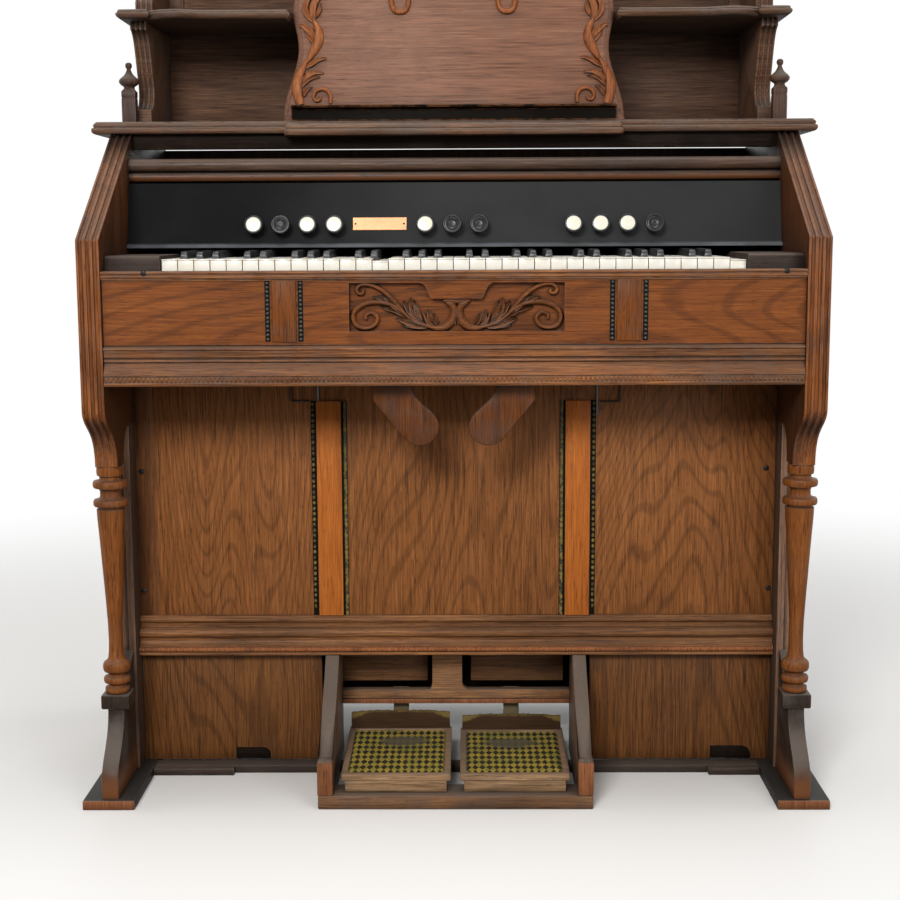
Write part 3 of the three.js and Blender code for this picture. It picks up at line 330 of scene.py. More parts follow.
class Recipe:
    # A material and its nodes.
    def __init__(self, name):
        self.material = bpy.data.materials.new(name)
        self.material.use_nodes = True
        self.tree = self.material.node_tree
        self.shader = self.tree.nodes["Principled BSDF"]

    def node(self, kind, settings=None, inputs=None, output=0):
        made = self.tree.nodes.new(kind)
        for key, value in (settings or {}).items():
            setattr(made, key, value)
        for key, value in (inputs or {}).items():
            if isinstance(value, Plug):
                self.tree.links.new(value.socket, made.inputs[key])
            else:
                made.inputs[key].default_value = value
        return Plug(self, made.outputs[output])

    def place(self, scale=(1, 1, 1), shift=(0, 0, 0)):
        spot = self.node("ShaderNodeTexCoord", output="Object")
        return self.node("ShaderNodeMapping", inputs={"Vector": spot, "Location": shift, "Scale": scale})

    def noise(self, spot, scale, detail=2, roughness=0.5, distortion=0):
        inputs = {"Vector": spot, "Scale": scale, "Detail": detail, "Roughness": roughness,
                  "Distortion": distortion}
        return self.node("ShaderNodeTexNoise", inputs=inputs)

    def ease(self, value, low, high):
        inputs = {"Value": value, "From Min": low, "From Max": high}
        return self.node("ShaderNodeMapRange", {"interpolation_type": "SMOOTHSTEP"}, inputs)

    def patches(self, scale, detail, roughness, low, high, spot=None):
        # 0 to 1 in soft-edged patches of noise.
        return self.ease(self.noise(spot or self.place(), scale, detail, roughness), low, high)

    def waves(self, spot, direction, scale):
        settings = {"wave_type": "BANDS", "bands_direction": direction}
        return self.node("ShaderNodeTexWave", settings, {"Vector": spot, "Scale": scale}, output="Fac")

    def length(self, spot):
        return self.node("ShaderNodeVectorMath", {"operation": "LENGTH"}, {0: spot}, output="Value")

    def blend(self, factor, first, second):
        return self.node("ShaderNodeMix", {"data_type": "RGBA"}, {0: factor, 6: first, 7: second}, output=2)

    def axis(self, name, spot=None):
        spot = spot or self.node("ShaderNodeTexCoord", output="Object")
        return self.node("ShaderNodeSeparateXYZ", inputs={0: spot}, output=name)

    def edges(self, radius):
        # 1 along edges that stand out or fold in, 0 on flats.
        rounded = self.node("ShaderNodeBevel", {"samples": 4}, {"Radius": radius})
        flat = self.node("ShaderNodeNewGeometry", output="Normal")
        same = self.node("ShaderNodeVectorMath", {"operation": "DOT_PRODUCT"}, {0: rounded, 1: flat},
                         output="Value")
        return self.ease(1 - same, 0.02, 0.25)

    def openness(self, distance):
        return self.node("ShaderNodeAmbientOcclusion", {"samples": 5}, {"Distance": distance}, output="AO")

    def bump(self, height, strength, distance):
        return self.node("ShaderNodeBump", inputs={"Height": height, "Strength": strength,
                                                   "Distance": distance})

    def finish(self, **values):
        names = {"colour": "Base Color", "rough": "Roughness", "metal": "Metallic", "normal": "Normal",
                 "coat": "Coat Weight", "coatRough": "Coat Roughness", "specular": "Specular IOR Level",
                 "sheen": "Sheen Weight", "sheenRough": "Sheen Roughness"}
        for key, value in values.items():
            plug = self.shader.inputs[names[key]]
            if isinstance(value, Plug):
                self.tree.links.new(value.socket, plug)
            else:
                plug.default_value = value
        return self.material


grainTurns = {"Z": (1, 1, 0), "X": (0, 1, 1), "Y": (1, 0, 1)}


def oak(name, grain, dark, middle, light, seed, rings, wear=0.4, grimeAndShade=0.5, rough=0.46, dustAndSheen=0.1, open=0.03,
        lines=0.6, worn=(146, 128, 116), low=None, shine=0.13, inner=None):
    # Stained oak: long fine lines, rings from a stretched noise field, open pores, worn edges, grime with
    # painted shade in hollows, painted shade on undersides, dust and painted sheen.
    # low gives two heights and the colour under them; given the other way round the colour lies above them,
    # as the cheek's painted shade under the shelf. inner is where a case end's shaded inner face lies,
    # darkened there as painted shade.
    make = Recipe(name)
    shift = (seed * 1.37, seed * 0.73, seed * 2.11)

    def stretched(share):
        return make.place([turn or share for turn in grainTurns[grain]], shift)

    field = make.noise(stretched(0.17), 3.1, 1.6, 0.5, 0.25)
    ring = make.ease((field * rings * 6.283).maths("SINE"), 0.4, 1)
    strands = make.noise(stretched(0.032), 500, 2, 0.6)
    bands = make.noise(stretched(0.025), 170, 3, 0.6)
    pore = make.ease(make.noise(stretched(0.06), 820, 1.5, 0.6), 0.60, 0.70)
    cloud = make.noise(make.place(shift=shift), 4.5, 4, 0.6)
    tone = strands * 0.95 + bands * 0.5 + cloud * 0.35 - 0.4
    colour = make.blend(make.ease(tone, 0.2, 0.52), paint(*dark), paint(*middle))
    colour = make.blend(make.ease(tone, 0.48, 0.82), colour, paint(*light))
    colour = make.blend(ring * lines * 0.55, colour, paint(*[c * 0.6 for c in dark]))
    colour = make.blend(pore * lines, colour, paint(*[c * 0.42 for c in dark]))
    # Grey patches of dust and painted sheen: the grey also stands for the white room reflected off dull
    # varnish.
    dustAndSheenPatches = make.ease(make.noise(make.place(shift=shift), 13, 4, 0.65), 0.44, 0.72)
    colour = make.blend(dustAndSheenPatches * dustAndSheen, colour, paint(92, 84, 80))
    facing = make.axis("Z", make.node("ShaderNodeNewGeometry", output="Normal"))
    # Tops are lighter grey: dust lying on them and a painted sheen of light from above.
    colour = make.blend(make.ease(facing, 0.3, 0.75) * min(0.75, dustAndSheen * 1.6), colour, paint(104, 94, 86))
    # Painted shade: undersides darkened towards near black.
    colour = make.blend(make.ease(facing * -1, 0.6, 0.95) * 0.7, colour, paint(16, 10, 8))
    if wear:
        edge = make.edges(0.0028) * make.patches(60, 3, 0.6, 0.35, 0.6)
        colour = make.blend(edge * wear, colour, paint(*worn))
    if low:
        tinted = 1 - make.ease(make.axis("Z") + make.noise(make.place(), 50, 3, 0.6) * 0.012, low[0],
                               low[1])
        colour = make.blend(tinted * 0.85, colour, paint(*low[2]))
    # Painted shade on a case end's inner face.
    if inner:
        near = 1 - make.ease(make.axis("X").maths("ABSOLUTE"), inner + 0.0002, inner + 0.001)
        colour = make.blend(near * 0.72, colour, paint(20, 13, 9))
    # Grime and painted shade: hollows, corners and places under overhangs darkened by how little is open
    # around them.
    if grimeAndShade:
        shade = make.ease(make.openness(open), 0.25, 0.95)
        colour = make.blend((1 - shade) * grimeAndShade, colour, paint(16, 10, 8))
    height = strands * 0.5 - pore * 0.8
    roughness = strands * 0.16 + dustAndSheenPatches * 0.12 + (rough - 0.1)
    return make.finish(colour=colour, rough=roughness, normal=make.bump(height, 0.3, 0.0006),
                       specular=shine)


materials = {}


def woods():
    materials["panel"] = oak("oakPanel", "Z", (80, 47, 25), (136, 84, 44), (169, 109, 62), 1, rings=96,
                             dustAndSheen=0.05)
    materials["kick"] = oak("oakKick", "Z", (60, 36, 19), (109, 68, 35), (137, 89, 46), 2, rings=80,
                            dustAndSheen=0.05)
    materials["stile"] = oak("oakStile", "Z", (126, 67, 25), (176, 98, 39), (204, 122, 52), 3, rings=12,
                             dustAndSheen=0, lines=0.4)
    materials["keyslip"] = oak("oakKeyslip", "X", (75, 38, 16), (120, 66, 29), (146, 84, 37), 4, rings=60,
                               dustAndSheen=0.05)
    materials["column"] = oak("oakColumn", "Z", (78, 42, 18), (129, 74, 32), (158, 96, 45), 5, rings=9,
                              dustAndSheen=0.15, lines=0.4)
    # the cheek's low tint, its heights given upside down, is painted shade on its top under the shelf; its
    # inner face and heavy hollow darkening are painted shade too
    materials["cheek"] = oak("oakCheek", "Z", (70, 39, 19), (131, 75, 35), (175, 104, 51), 6, rings=18,
                             wear=0.6, dustAndSheen=0.25, grimeAndShade=0.85, open=0.06,
                             inner=-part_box("end_board_left")[1].x, low=(0.996, 0.950, (26, 18, 13)))
    materials["mould"] = oak("oakMould", "X", (70, 46, 28), (129, 80, 47), (174, 116, 67), 7, rings=7,
                             wear=0.6, dustAndSheen=0.3, open=0.012)
    materials["shelf"] = oak("oakShelf", "X", (59, 40, 31), (99, 70, 52), (135, 100, 74), 8, rings=9,
                             wear=0.6, dustAndSheen=0.5)
    materials["back"] = oak("oakBack", "Z", (46, 30, 21), (76, 50, 35), (98, 66, 46), 9, rings=13, dustAndSheen=0.2)
    materials["desk"] = oak("oakDesk", "X", (89, 58, 44), (124, 85, 66), (146, 104, 81), 10, rings=12,
                            dustAndSheen=0.25, lines=0.2)
    materials["carved"] = oak("oakCarved", "X", (74, 41, 20), (124, 72, 36), (157, 95, 49), 11, rings=5,
                              wear=0.8, grimeAndShade=0.9, open=0.008)
    materials["foot"] = oak("oakFoot", "Z", (29, 21, 18), (46, 35, 28), (64, 48, 38), 12, rings=6, wear=0.6,
                            dustAndSheen=0.6, low=(0.030, 0.075, (122, 76, 46)))
    materials["frame"] = oak("oakFrame", "X", (75, 51, 35), (129, 92, 64), (172, 127, 83), 13, rings=7,
                             wear=0.5, dustAndSheen=0.4)
    materials["pedal"] = oak("wornPedalWood", "X", (108, 80, 56), (160, 126, 92), (200, 164, 126), 14,
                             rings=7, wear=0.4, dustAndSheen=0.3)
    materials["fall"] = oak("oakFall", "X", (41, 26, 19), (69, 48, 35), (104, 76, 58), 28, rings=8,
                            wear=0.3, dustAndSheen=0.2, open=0.012, rough=0.38,
                            low=(0.9395, 0.9425, (92, 54, 28)), shine=0.2, grimeAndShade=0.95)
    materials["keyBlock"] = oak("oakKeyBlock", "X", (31, 22, 20), (55, 42, 36), (79, 61, 50), 29, rings=9,
                                dustAndSheen=0.3)
    # inner darkens the lower end board's inner face as painted shade
    materials["endBoard"] = oak("oakEndBoard", "Z", (84, 60, 46), (134, 102, 81), (166, 132, 113), 31,
                                rings=9, dustAndSheen=0.45, grimeAndShade=0.35,
                                inner=-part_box("end_board_left")[1].x)
    materials["pedalBlock"] = oak("oakPedalBlock", "Z", (88, 52, 32), (138, 86, 54), (166, 108, 70), 27,
                                  rings=5, wear=0.4, dustAndSheen=0.15)
    materials["skid"] = oak("oakSkid", "Y", (15, 15, 16), (24, 26, 26), (34, 36, 37), 32, rings=6, wear=0.5,
                            dustAndSheen=0.1)
    materials["toe"] = oak("oakToe", "X", (34, 25, 20), (58, 45, 38), (82, 66, 56), 33, rings=6, wear=0.6,
                           dustAndSheen=0.2)
    materials["dark"] = oak("darkBoard", "X", (22, 17, 13), (34, 26, 20), (48, 38, 29), 30, rings=6, wear=0,
                            dustAndSheen=0.1, shine=0.03)
    materials["orange"] = oak("oakOrange", "Z", (98, 54, 30), (148, 88, 50), (176, 112, 68), 23, rings=5,
                              wear=0.5, dustAndSheen=0.1)


def stopBoardBlack():
    make = Recipe("ebonisedBoard")
    dust = make.ease(make.noise(make.place((1, 1, 1.6)), 9, 5, 0.65), 0.35, 0.75)
    speck = make.patches(900, 2, 0.5, 0.62, 0.72)
    # Painted light and shade: dark at the board's left end, lighter from the middle rightwards.
    lit = make.ease(make.axis("X"), -0.36, 0.02)
    colour = make.blend(lit, paint(9, 9, 10), paint(47, 48, 48))
    colour = make.blend(dust * 0.25, colour, paint(36, 37, 38))
    colour = make.blend(speck * 0.15, colour, paint(80, 80, 78))
    ledge = 1 - make.ease(make.axis("Z"), 0.8300, 0.8342)
    colour = make.blend(ledge * (dust * 0.5 + 0.4), colour, paint(98, 100, 104))
    grain = make.noise(make.place((0.06, 1, 1)), 500, 3, 0.6)
    materials["ebonised"] = make.finish(colour=colour, rough=dust * 0.2 + 0.42,
                                        normal=make.bump(grain, 0.15, 0.0004), specular=0.03)


def blackPolish():
    make = Recipe("blackPolish")
    worn = make.patches(160, 3, 0.6, 0.5, 0.75)
    colour = make.blend(worn * 0.6, paint(15, 15, 16), paint(44, 43, 43))
    edge = make.edges(0.0012) * 0.5
    colour = make.blend(edge, colour, paint(92, 88, 84))
    materials["polish"] = make.finish(colour=colour, rough=worn * 0.25 + 0.34, coat=0.1, coatRough=0.2,
                                      specular=0.3)


def keyTops():
    make = Recipe("ivoryTops")
    spot = make.place((1, 0.05, 0.3))
    fine = make.noise(spot, 620, 3, 0.6)
    stain = make.patches(34, 3, 0.6, 0.45, 0.8)
    colour = make.blend(fine * 0.25, paint(234, 232, 222), paint(222, 214, 194))
    colour = make.blend(stain * 0.3, colour, paint(212, 198, 164))
    edge = make.edges(0.0009)
    colour = make.blend(edge * 0.35, colour, paint(205, 186, 146))
    materials["ivory"] = make.finish(colour=colour, rough=fine * 0.1 + 0.24, coat=0.25, coatRough=0.12)
    make = Recipe("sharpBlack")
    rub = make.ease(make.noise(make.place((1, 0.12, 1)), 120, 3, 0.6), 0.4, 0.7)
    colour = make.blend(rub * 0.5, paint(26, 26, 28), paint(62, 61, 62))
    edge = make.edges(0.0016)
    colour = make.blend(edge * 0.4, colour, paint(104, 101, 100))
    materials["sharp"] = make.finish(colour=colour, rough=rub * 0.15 + 0.34)
    make = Recipe("keyStick")
    grain = make.noise(make.place((1, 0.05, 1)), 420, 3, 0.6)
    colour = make.blend(grain, paint(150, 118, 78), paint(196, 164, 118))
    materials["stick"] = make.finish(colour=colour, rough=0.62, normal=make.bump(grain, 0.2, 0.0004))


def porcelain():
    make = Recipe("stopFaceWhite")
    speck = make.patches(520, 3, 0.7, 0.6, 0.74)
    stain = make.noise(make.place(), 110, 3, 0.6)
    colour = make.blend(stain * 0.4, paint(226, 224, 208), paint(206, 198, 170))
    colour = make.blend(speck * 0.35, colour, paint(176, 166, 132))
    materials["porcelain"] = make.finish(colour=colour, rough=0.22, coat=0.4, coatRough=0.1)


def metals():
    make = Recipe("blackenedIron")
    rust = make.patches(260, 4, 0.6, 0.5, 0.72)
    colour = make.blend(rust, paint(22, 21, 21), paint(56, 40, 30))
    materials["iron"] = make.finish(colour=colour, rough=rust * 0.3 + 0.4, metal=0.7 - rust * 0.4)
    make = Recipe("greyIron")
    dull = make.noise(make.place(), 200, 3, 0.6)
    materials["greyIron"] = make.finish(colour=make.blend(dull, paint(62, 68, 70), paint(98, 104, 106)),
                                        rough=dull * 0.2 + 0.45, metal=0.4)
    make = Recipe("copperPlate")
    scratch = make.noise(make.place((1, 1, 12)), 260, 3, 0.6)
    tarnish = make.patches(75, 4, 0.6, 0.4, 0.7)
    colour = make.blend(scratch * 0.6, paint(176, 118, 76), paint(204, 150, 104))
    colour = make.blend(tarnish * 0.35, colour, paint(160, 104, 62))
    edge = make.edges(0.0012)
    colour = make.blend(edge * 0.6, colour, paint(120, 70, 40))
    materials["plate"] = make.finish(colour=colour, rough=scratch * 0.2 + 0.3, metal=0.35,
                                     normal=make.bump(scratch, 0.1, 0.0002))


def beadPaint():
    make = Recipe("beadPatina")
    worn = make.patches(150, 3, 0.65, 0.36, 0.62)
    # Painted shade: the light olive fades towards the top, darker in the key bed's shadow.
    worn = worn * (1 - make.ease(make.axis("Z"), 0.36, 0.62) * 0.6)
    colour = make.blend(worn, paint(44, 48, 38), paint(136, 116, 62))
    shade = make.ease(make.openness(0.004), 0.3, 0.95)
    colour = make.blend(1 - shade, colour, paint(10, 12, 10))
    materials["bead"] = make.finish(colour=colour, rough=0.5, specular=0.15)
    make = Recipe("beadGround")
    colour = make.blend(make.noise(make.place(), 140, 3, 0.6), paint(8, 9, 8), paint(26, 28, 22))
    materials["ground"] = make.finish(colour=colour, rough=0.7, specular=0.05)
    make = Recipe("beadPatinaGreen")
    worn = make.patches(150, 3, 0.65, 0.5, 0.75)
    colour = make.blend(worn, paint(26, 33, 30), paint(78, 80, 62))
    shade = make.ease(make.openness(0.004), 0.3, 0.95)
    colour = make.blend(1 - shade, colour, paint(8, 12, 10))
    materials["greenBead"] = make.finish(colour=colour, rough=0.4)


woods()
stopBoardBlack()
blackPolish()
keyTops()
porcelain()
metals()
beadPaint()
print("materials made")


# Camera, lamps and floor

cameraSettings = {
    "place": (0.0170, -2.4157, 0.8535),
    "lens": 61.15,
    "down": 8.232,
    "aside": 0.598,
    "roll": 0.2655,
}


def buildCamera():
    down, aside, roll = (math.radians(cameraSettings[key]) for key in ("down", "aside", "roll"))
    ahead = Vector((-math.sin(aside) * math.cos(down), math.cos(aside) * math.cos(down), -math.sin(down)))
    right = ahead.cross(Vector((0, 0, 1))).normalized()
    up = right.cross(ahead)
    turnedRight = right * math.cos(roll) - up * math.sin(roll)
    turnedUp = right * math.sin(roll) + up * math.cos(roll)
    data = bpy.data.cameras.new("camera")
    data.lens = cameraSettings["lens"]
    data.sensor_width = 36
    data.clip_start = 0.05
    camera = bpy.data.objects.new("camera", data)
    bpy.context.scene.collection.objects.link(camera)
    axes = Matrix((turnedRight, turnedUp, -ahead)).transposed().to_4x4()
    camera.matrix_world = Matrix.Translation(cameraSettings["place"]) @ axes
    bpy.context.scene.camera = camera


lampSettings = {
    "key": {"place": (-0.7, -3.0, 2.1), "size": (1.0, 0.8), "power": 82, "colour": (1, 0.985, 0.96)},
    "fill": {"place": (1.9, -3.0, 1.5), "size": (1.6, 1.6), "power": 30, "colour": (0.97, 0.985, 1)},
    "top": {"place": (0.2, -0.4, 3.6), "size": (2.2, 1.8), "power": 46, "colour": (1, 1, 1)},
    "left": {"place": (-2.9, 0.3, 1.6), "size": (1.4, 1.8), "power": 15, "colour": (1, 1, 1)},
    "right": {"place": (2.9, 0.5, 1.6), "size": (1.4, 1.8), "power": 15, "colour": (1, 1, 1)},
    "behind": {"place": (0, 3.2, 2.0), "size": (3.0, 2.0), "power": 34, "colour": (1, 1, 1)},
    "worldLight": 0.16,
}


def buildLamps():
    for name, values in lampSettings.items():
        if name == "worldLight":
            continue
        data = bpy.data.lights.new(name, "AREA")
        data.shape = "RECTANGLE"
        data.size, data.size_y = values["size"]
        data.energy = values["power"]
        data.color = values["colour"]
        lamp = bpy.data.objects.new(name, data)
        bpy.context.scene.collection.objects.link(lamp)
        lamp.location = values["place"]
        lamp.rotation_euler = (Vector((0, 0, 0.7)) - lamp.location).to_track_quat("-Z", "Y").to_euler()
    world = bpy.data.worlds.new("studio")
    bpy.context.scene.world = world
    world.use_nodes = True
    nodes, links = world.node_tree.nodes, world.node_tree.links
    kinds = ("Background", "Background", "MixShader", "LightPath", "Math", "Math")
    soft, plain, mix, path, either, seen = (nodes.new("ShaderNode" + kind) for kind in kinds)
    soft.inputs["Strength"].default_value = lampSettings["worldLight"]
    plain.inputs["Strength"].default_value = 1
    either.operation = seen.operation = "MAXIMUM"
    links.new(path.outputs["Is Camera Ray"], either.inputs[0])
    links.new(path.outputs["Is Glossy Ray"], either.inputs[1])
    links.new(either.outputs[0], seen.inputs[0])
    links.new(path.outputs["Is Transmission Ray"], seen.inputs[1])
    links.new(seen.outputs[0], mix.inputs[0])
    links.new(soft.outputs[0], mix.inputs[1])
    links.new(plain.outputs[0], mix.inputs[2])
    links.new(mix.outputs[0], nodes["World Output"].inputs["Surface"])
    for made in (soft, plain):
        made.inputs["Color"].default_value = (1, 1, 1, 1)


floorSettings = {"half": 14, "fadeStart": 1.1, "fadeEnd": 2.6, "tone": (240, 239, 237),
                 "bounce": (120, 118, 114)}


def buildFloor():
    bm = bmesh.new()
    bmesh.ops.create_grid(bm, x_segments=1, y_segments=1, size=floorSettings["half"])
    mesh = bpy.data.meshes.new("floor")
    bm.to_mesh(mesh)
    bm.free()
    floor = bpy.data.objects.new("floor", mesh)
    bpy.context.scene.collection.objects.link(floor)
    make = Recipe("paleFloor")
    spot = make.node("ShaderNodeTexCoord", output="Object")
    reach = make.length(spot)
    far = make.ease(reach, floorSettings["fadeStart"], floorSettings["fadeEnd"])
    camera, glossy, through = (make.node("ShaderNodeLightPath",
                                         output="Is %s Ray" % kind) for kind in ("Camera", "Glossy",
                                                                                 "Transmission"))
    glow = make.node("ShaderNodeEmission", inputs={"Color": (1, 1, 1, 1), "Strength": 1})
    surface = Plug(make, make.shader.outputs[0])
    seen = (camera + glossy + through).clipped()
    make.finish(colour=make.blend(seen, paint(*floorSettings["bounce"]), paint(*floorSettings["tone"])),
                rough=0.75, specular=0.2)
    mixed = make.node("ShaderNodeMixShader", inputs={0: far * seen, 1: surface, 2: glow})
    make.tree.links.new(mixed.socket, make.tree.nodes["Material Output"].inputs["Surface"])
    mesh.materials.append(make.material)


buildCamera()
buildLamps()
buildFloor()
bpy.context.scene.view_settings.view_transform = "Standard"
print("camera, lamps and floor made")


# Case ends

cheekSettings = {
    "flutes": 3,
    "fluteShare": 0.62,
    "fluteDepth": 0.0030,
    "shoulder": 0.840,
    "slopeDepth": 0.242,
    "cornerRound": 0.005,
    "scrollTop": 0.599,
    "scrollTip": 0.507,
    "tipDepths": (0.068, 0.110),
    "belt": 0.560,
    "lowerFront": 0.150,
    "lowerThickness": 0.023,
    "lowerStep": 0.0112,
    "lowerBottom": 0.0143,
    "lowerSetback": 0.0105,
    "arris": 0.0016,
}


def flutedLayers(ends, flutes, share, deep, ease):
    # Layers across a board's edge: rounded arrises and a row of hollow flutes between lands.
    low, high = ends
    pitch = (high - low - 2 * ease) / flutes
    layers = [(low, ease), (low + ease * 0.3, ease * 0.3), (low + ease, 0)]
    for i in range(flutes):
        middle = low + ease + pitch * (i + 0.5)
        half = pitch * share / 2
        for k in range(9):
            angle = math.pi * k / 8
            layers.append((middle - half * math.cos(angle), deep * math.sin(angle) ** 0.8))
    return layers + [(high - ease, 0), (high - ease * 0.3, ease * 0.3), (high, ease)]


def cheekOutline():
    s = cheekSettings
    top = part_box("end_board_left")[1].z
    rear = caseRear - caseFront
    slope = math.degrees(math.atan2(top - s["shoulder"], s["slopeDepth"]))
    corner = arc((s["cornerRound"], s["shoulder"] - s["cornerRound"] * 0.35), s["cornerRound"], 90 + slope,
                 180, 4)
    drop = (s["scrollTop"] - s["scrollTip"]) / 3
    front, back = s["tipDepths"]
    scroll = bezier((0, s["scrollTop"]), (0, s["scrollTop"] - drop), (front, s["scrollTop"] - drop),
                    (front, s["scrollTip"]), 18)
    heel = bezier((back, s["scrollTip"]), (back, s["scrollTip"] + 0.03), (back + 0.012, s["belt"]),
                  (s["lowerFront"], s["belt"]), 7)
    fluted = [(s["slopeDepth"], top)] + corner + scroll
    plain = heel + [(rear, s["belt"]), (rear, top)]
    fade = [1, 1, 0.9, 0.75, 0.6, 0.45, 0.3, 0.15]
    return fluted + plain, [1] * (len(fluted) - len(fade)) + fade + [0] * len(plain)


def buildCheek(side, hand):
    s = cheekSettings
    low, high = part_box("end_board_" + hand)
    inside = min(low.x, high.x, key=abs)
    outline, weights = cheekOutline()
    bm = bmesh.new()
    layers = flutedLayers((low.x, high.x), s["flutes"], s["fluteShare"], s["fluteDepth"], s["arris"])
    layeredInto(bm, outline, layers, acrossPlace, weights)
    piece("cheek_" + hand, bm, "cheek", replaced=["end_board_" + hand])
    bm = bmesh.new()
    for start, end, setback in ((0, s["lowerStep"], 0),
                                (s["lowerStep"] - 0.0015, s["lowerThickness"], s["lowerSetback"])):
        slabInto(bm, (inside + side * start, inside + side * end),
                 (s["lowerFront"] + setback, caseRear - caseFront),
                 (s["lowerBottom"], s["belt"] + 0.002), 0.0012)
    piece("lower_end_" + hand, bm, "endBoard")


bothSides(buildCheek)


# Columns and feet

columnSettings = {
    "depth": 0.088,
    # radius in metres at shares of the height between block and scroll, from the foot up
    "profile": [(0.0165, 0.0), (0.0180, 0.004), (0.0185, 0.014), (0.0180, 0.024), (0.0138, 0.029),
                (0.0130, 0.035), (0.0138, 0.041),
                (0.0188, 0.046), (0.0200, 0.053), (0.0200, 0.064), (0.0188, 0.072), (0.0136, 0.077),
                (0.0126, 0.084), (0.0136, 0.091),
                (0.0190, 0.096), (0.0204, 0.104), (0.0208, 0.118), (0.0202, 0.130), (0.0180, 0.139),
                (0.0146, 0.145), (0.0124, 0.155),
                (0.0112, 0.185), (0.0106, 0.23), (0.0110, 0.31), (0.0126, 0.40), (0.0147, 0.50),
                (0.0168, 0.60),
                (0.0190, 0.70), (0.0207, 0.77), (0.0213, 0.812), (0.0190, 0.817), (0.0192, 0.822),
                (0.0244, 0.826), (0.0257, 0.833),
                (0.0257, 0.846), (0.0244, 0.854), (0.0176, 0.858), (0.0156, 0.868), (0.0154, 0.890),
                (0.0174, 0.902),
                (0.0244, 0.906), (0.0257, 0.913), (0.0257, 0.927), (0.0244, 0.935), (0.0172, 0.939),
                (0.0154, 0.947),
                (0.0160, 0.955), (0.0190, 0.959), (0.0198, 0.970), (0.0196, 0.990), (0.0190, 1.0)],
}


def buildColumn(side, hand):
    low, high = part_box("column_" + hand)
    centre = Vector(((low.x + high.x) / 2, caseFront + columnSettings["depth"], low.z))
    tall = high.z - low.z
    profile = [(0, 0)] + [(radius, share * tall) for radius,
                          share in columnSettings["profile"]] + [(0, tall)]
    bm = bmesh.new()
    turnedInto(bm, profile, centre, (0, 0, 1), (1, 0, 0), 48)
    piece("turned_column_" + hand, bm, "column", replaced=["column_" + hand], sharp=50)


footSettings = {
    "skid": {"depths": (0.008, 0.512), "top": 0.014},
    "blockHalf": 0.0215,
    "blockHeights": (0.136, 0.158),
    "bracketHalf": 0.0125,
    "toe": 0.014,
    "front": 0.0725,
    "toeHeight": 0.034,
    "rear": 0.1497,
    "rearTop": 0.205,
}


def buildFoot(side, hand):
    s = footSettings
    low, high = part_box("foot_" + hand)
    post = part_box("column_" + hand)
    middle = (post[0].x + post[1].x) / 2
    bm = bmesh.new()
    front, rear = s["skid"]["depths"]
    slabInto(bm, (low.x, high.x), (front + 0.0030, rear), (0, s["skid"]["top"]), 0.001)
    piece("skid_" + hand, bm, "skid", replaced=["foot_" + hand])
    bm = bmesh.new()
    slabInto(bm, (low.x, high.x), (front, front + 0.0040), (0, s["skid"]["top"] - 0.0003), 0.0012)
    piece("skid_edge_" + hand, bm, "pedalBlock")
    bm = bmesh.new()
    depth = columnSettings["depth"]
    bottom, top = s["blockHeights"]
    half = s["blockHalf"]
    front = bezier((s["front"], bottom + 0.002), (s["front"], 0.085), (s["toe"], 0.074),
                   (s["toe"], s["toeHeight"]), 16)
    rear = bezier((s["rear"], s["rearTop"]), (s["rear"] - 0.022, s["rearTop"] - 0.012),
                  (depth + half, top + 0.03), (depth + half, bottom), 8)
    outline = front + [(s["toe"] + 0.002, 0.014), (s["rear"], 0.0138)] + rear
    plateInto(bm, outline, (middle - s["bracketHalf"], middle + s["bracketHalf"]), acrossPlace, 0.0018)
    slabInto(bm, (middle - half, middle + half), (depth - half, depth + half), (bottom, top), 0.0025)
    piece("bracket_foot_" + hand, bm, "foot")


bothSides(buildColumn)
bothSides(buildFoot)
print("case ends made")


# Key bed, keyslip and their mouldings

apronSettings = {
    # depth and height of the moulding's face, from the top down
    "profile": [(0.0262, 0.6905), (0.0085, 0.6903), (0.0028, 0.6870), (0.0028, 0.6850), (0.0052, 0.6835),
                (0.0052, 0.6745),
                (0.0062, 0.6735), (0.0075, 0.6725), (0.0078, 0.6715), (0.0064, 0.6712), (0.0048, 0.6702),
                (0.0043, 0.6688),
                (0.0048, 0.6674), (0.0064, 0.6664), (0.0078, 0.6660), (0.0072, 0.6640), (0.0046, 0.6600),
                (0.0018, 0.6545),
                (0.0004, 0.6490), (0.0004, 0.6478), (0.0020, 0.6468), (0.0020, 0.6385), (0.0006, 0.6380),
                (0.0002, 0.6365),
                (0.0006, 0.6345), (0.0022, 0.6330), (0.0262, 0.6330)],
    "gadroonPitch": 0.0066,
    "gadroon": (0.0027, 0.0020, 0.0042),
    "gadroonHeight": 0.6427,
    "gadroonDepth": 0.0022,
    "bedTop": 0.691,
    "bedBottom": 0.667,
    "bedRear": 0.496,
    "pivot": {"offset": 0.090, "half": 0.010, "depths": (0.0483, 0.068), "bottom": 0.630},
}


def buildKeyBed():
    s = apronSettings
    low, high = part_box("key_bed")
    bm = bmesh.new()
    mouldingInto(bm, s["profile"], (low.x, high.x))
    slabInto(bm, (low.x, high.x), (0.0255, s["bedRear"]), (s["bedBottom"], s["bedTop"]), 0)
    pivot = s["pivot"]
    for side in (-1, 1):
        slabInto(bm, (side * pivot["offset"] - pivot["half"], side * pivot["offset"] + pivot["half"]),
                 pivot["depths"], (pivot["bottom"], s["bedBottom"] + 0.002), 0.001)
    height = s["gadroonHeight"]
    beadsInto(bm, frontPlace(low.x, height, s["gadroonDepth"]),
              frontPlace(high.x, height, s["gadroonDepth"]),
              s["gadroon"], s["gadroonPitch"])
    piece("moulded_key_bed", bm, "mould", replaced=["key_bed"])


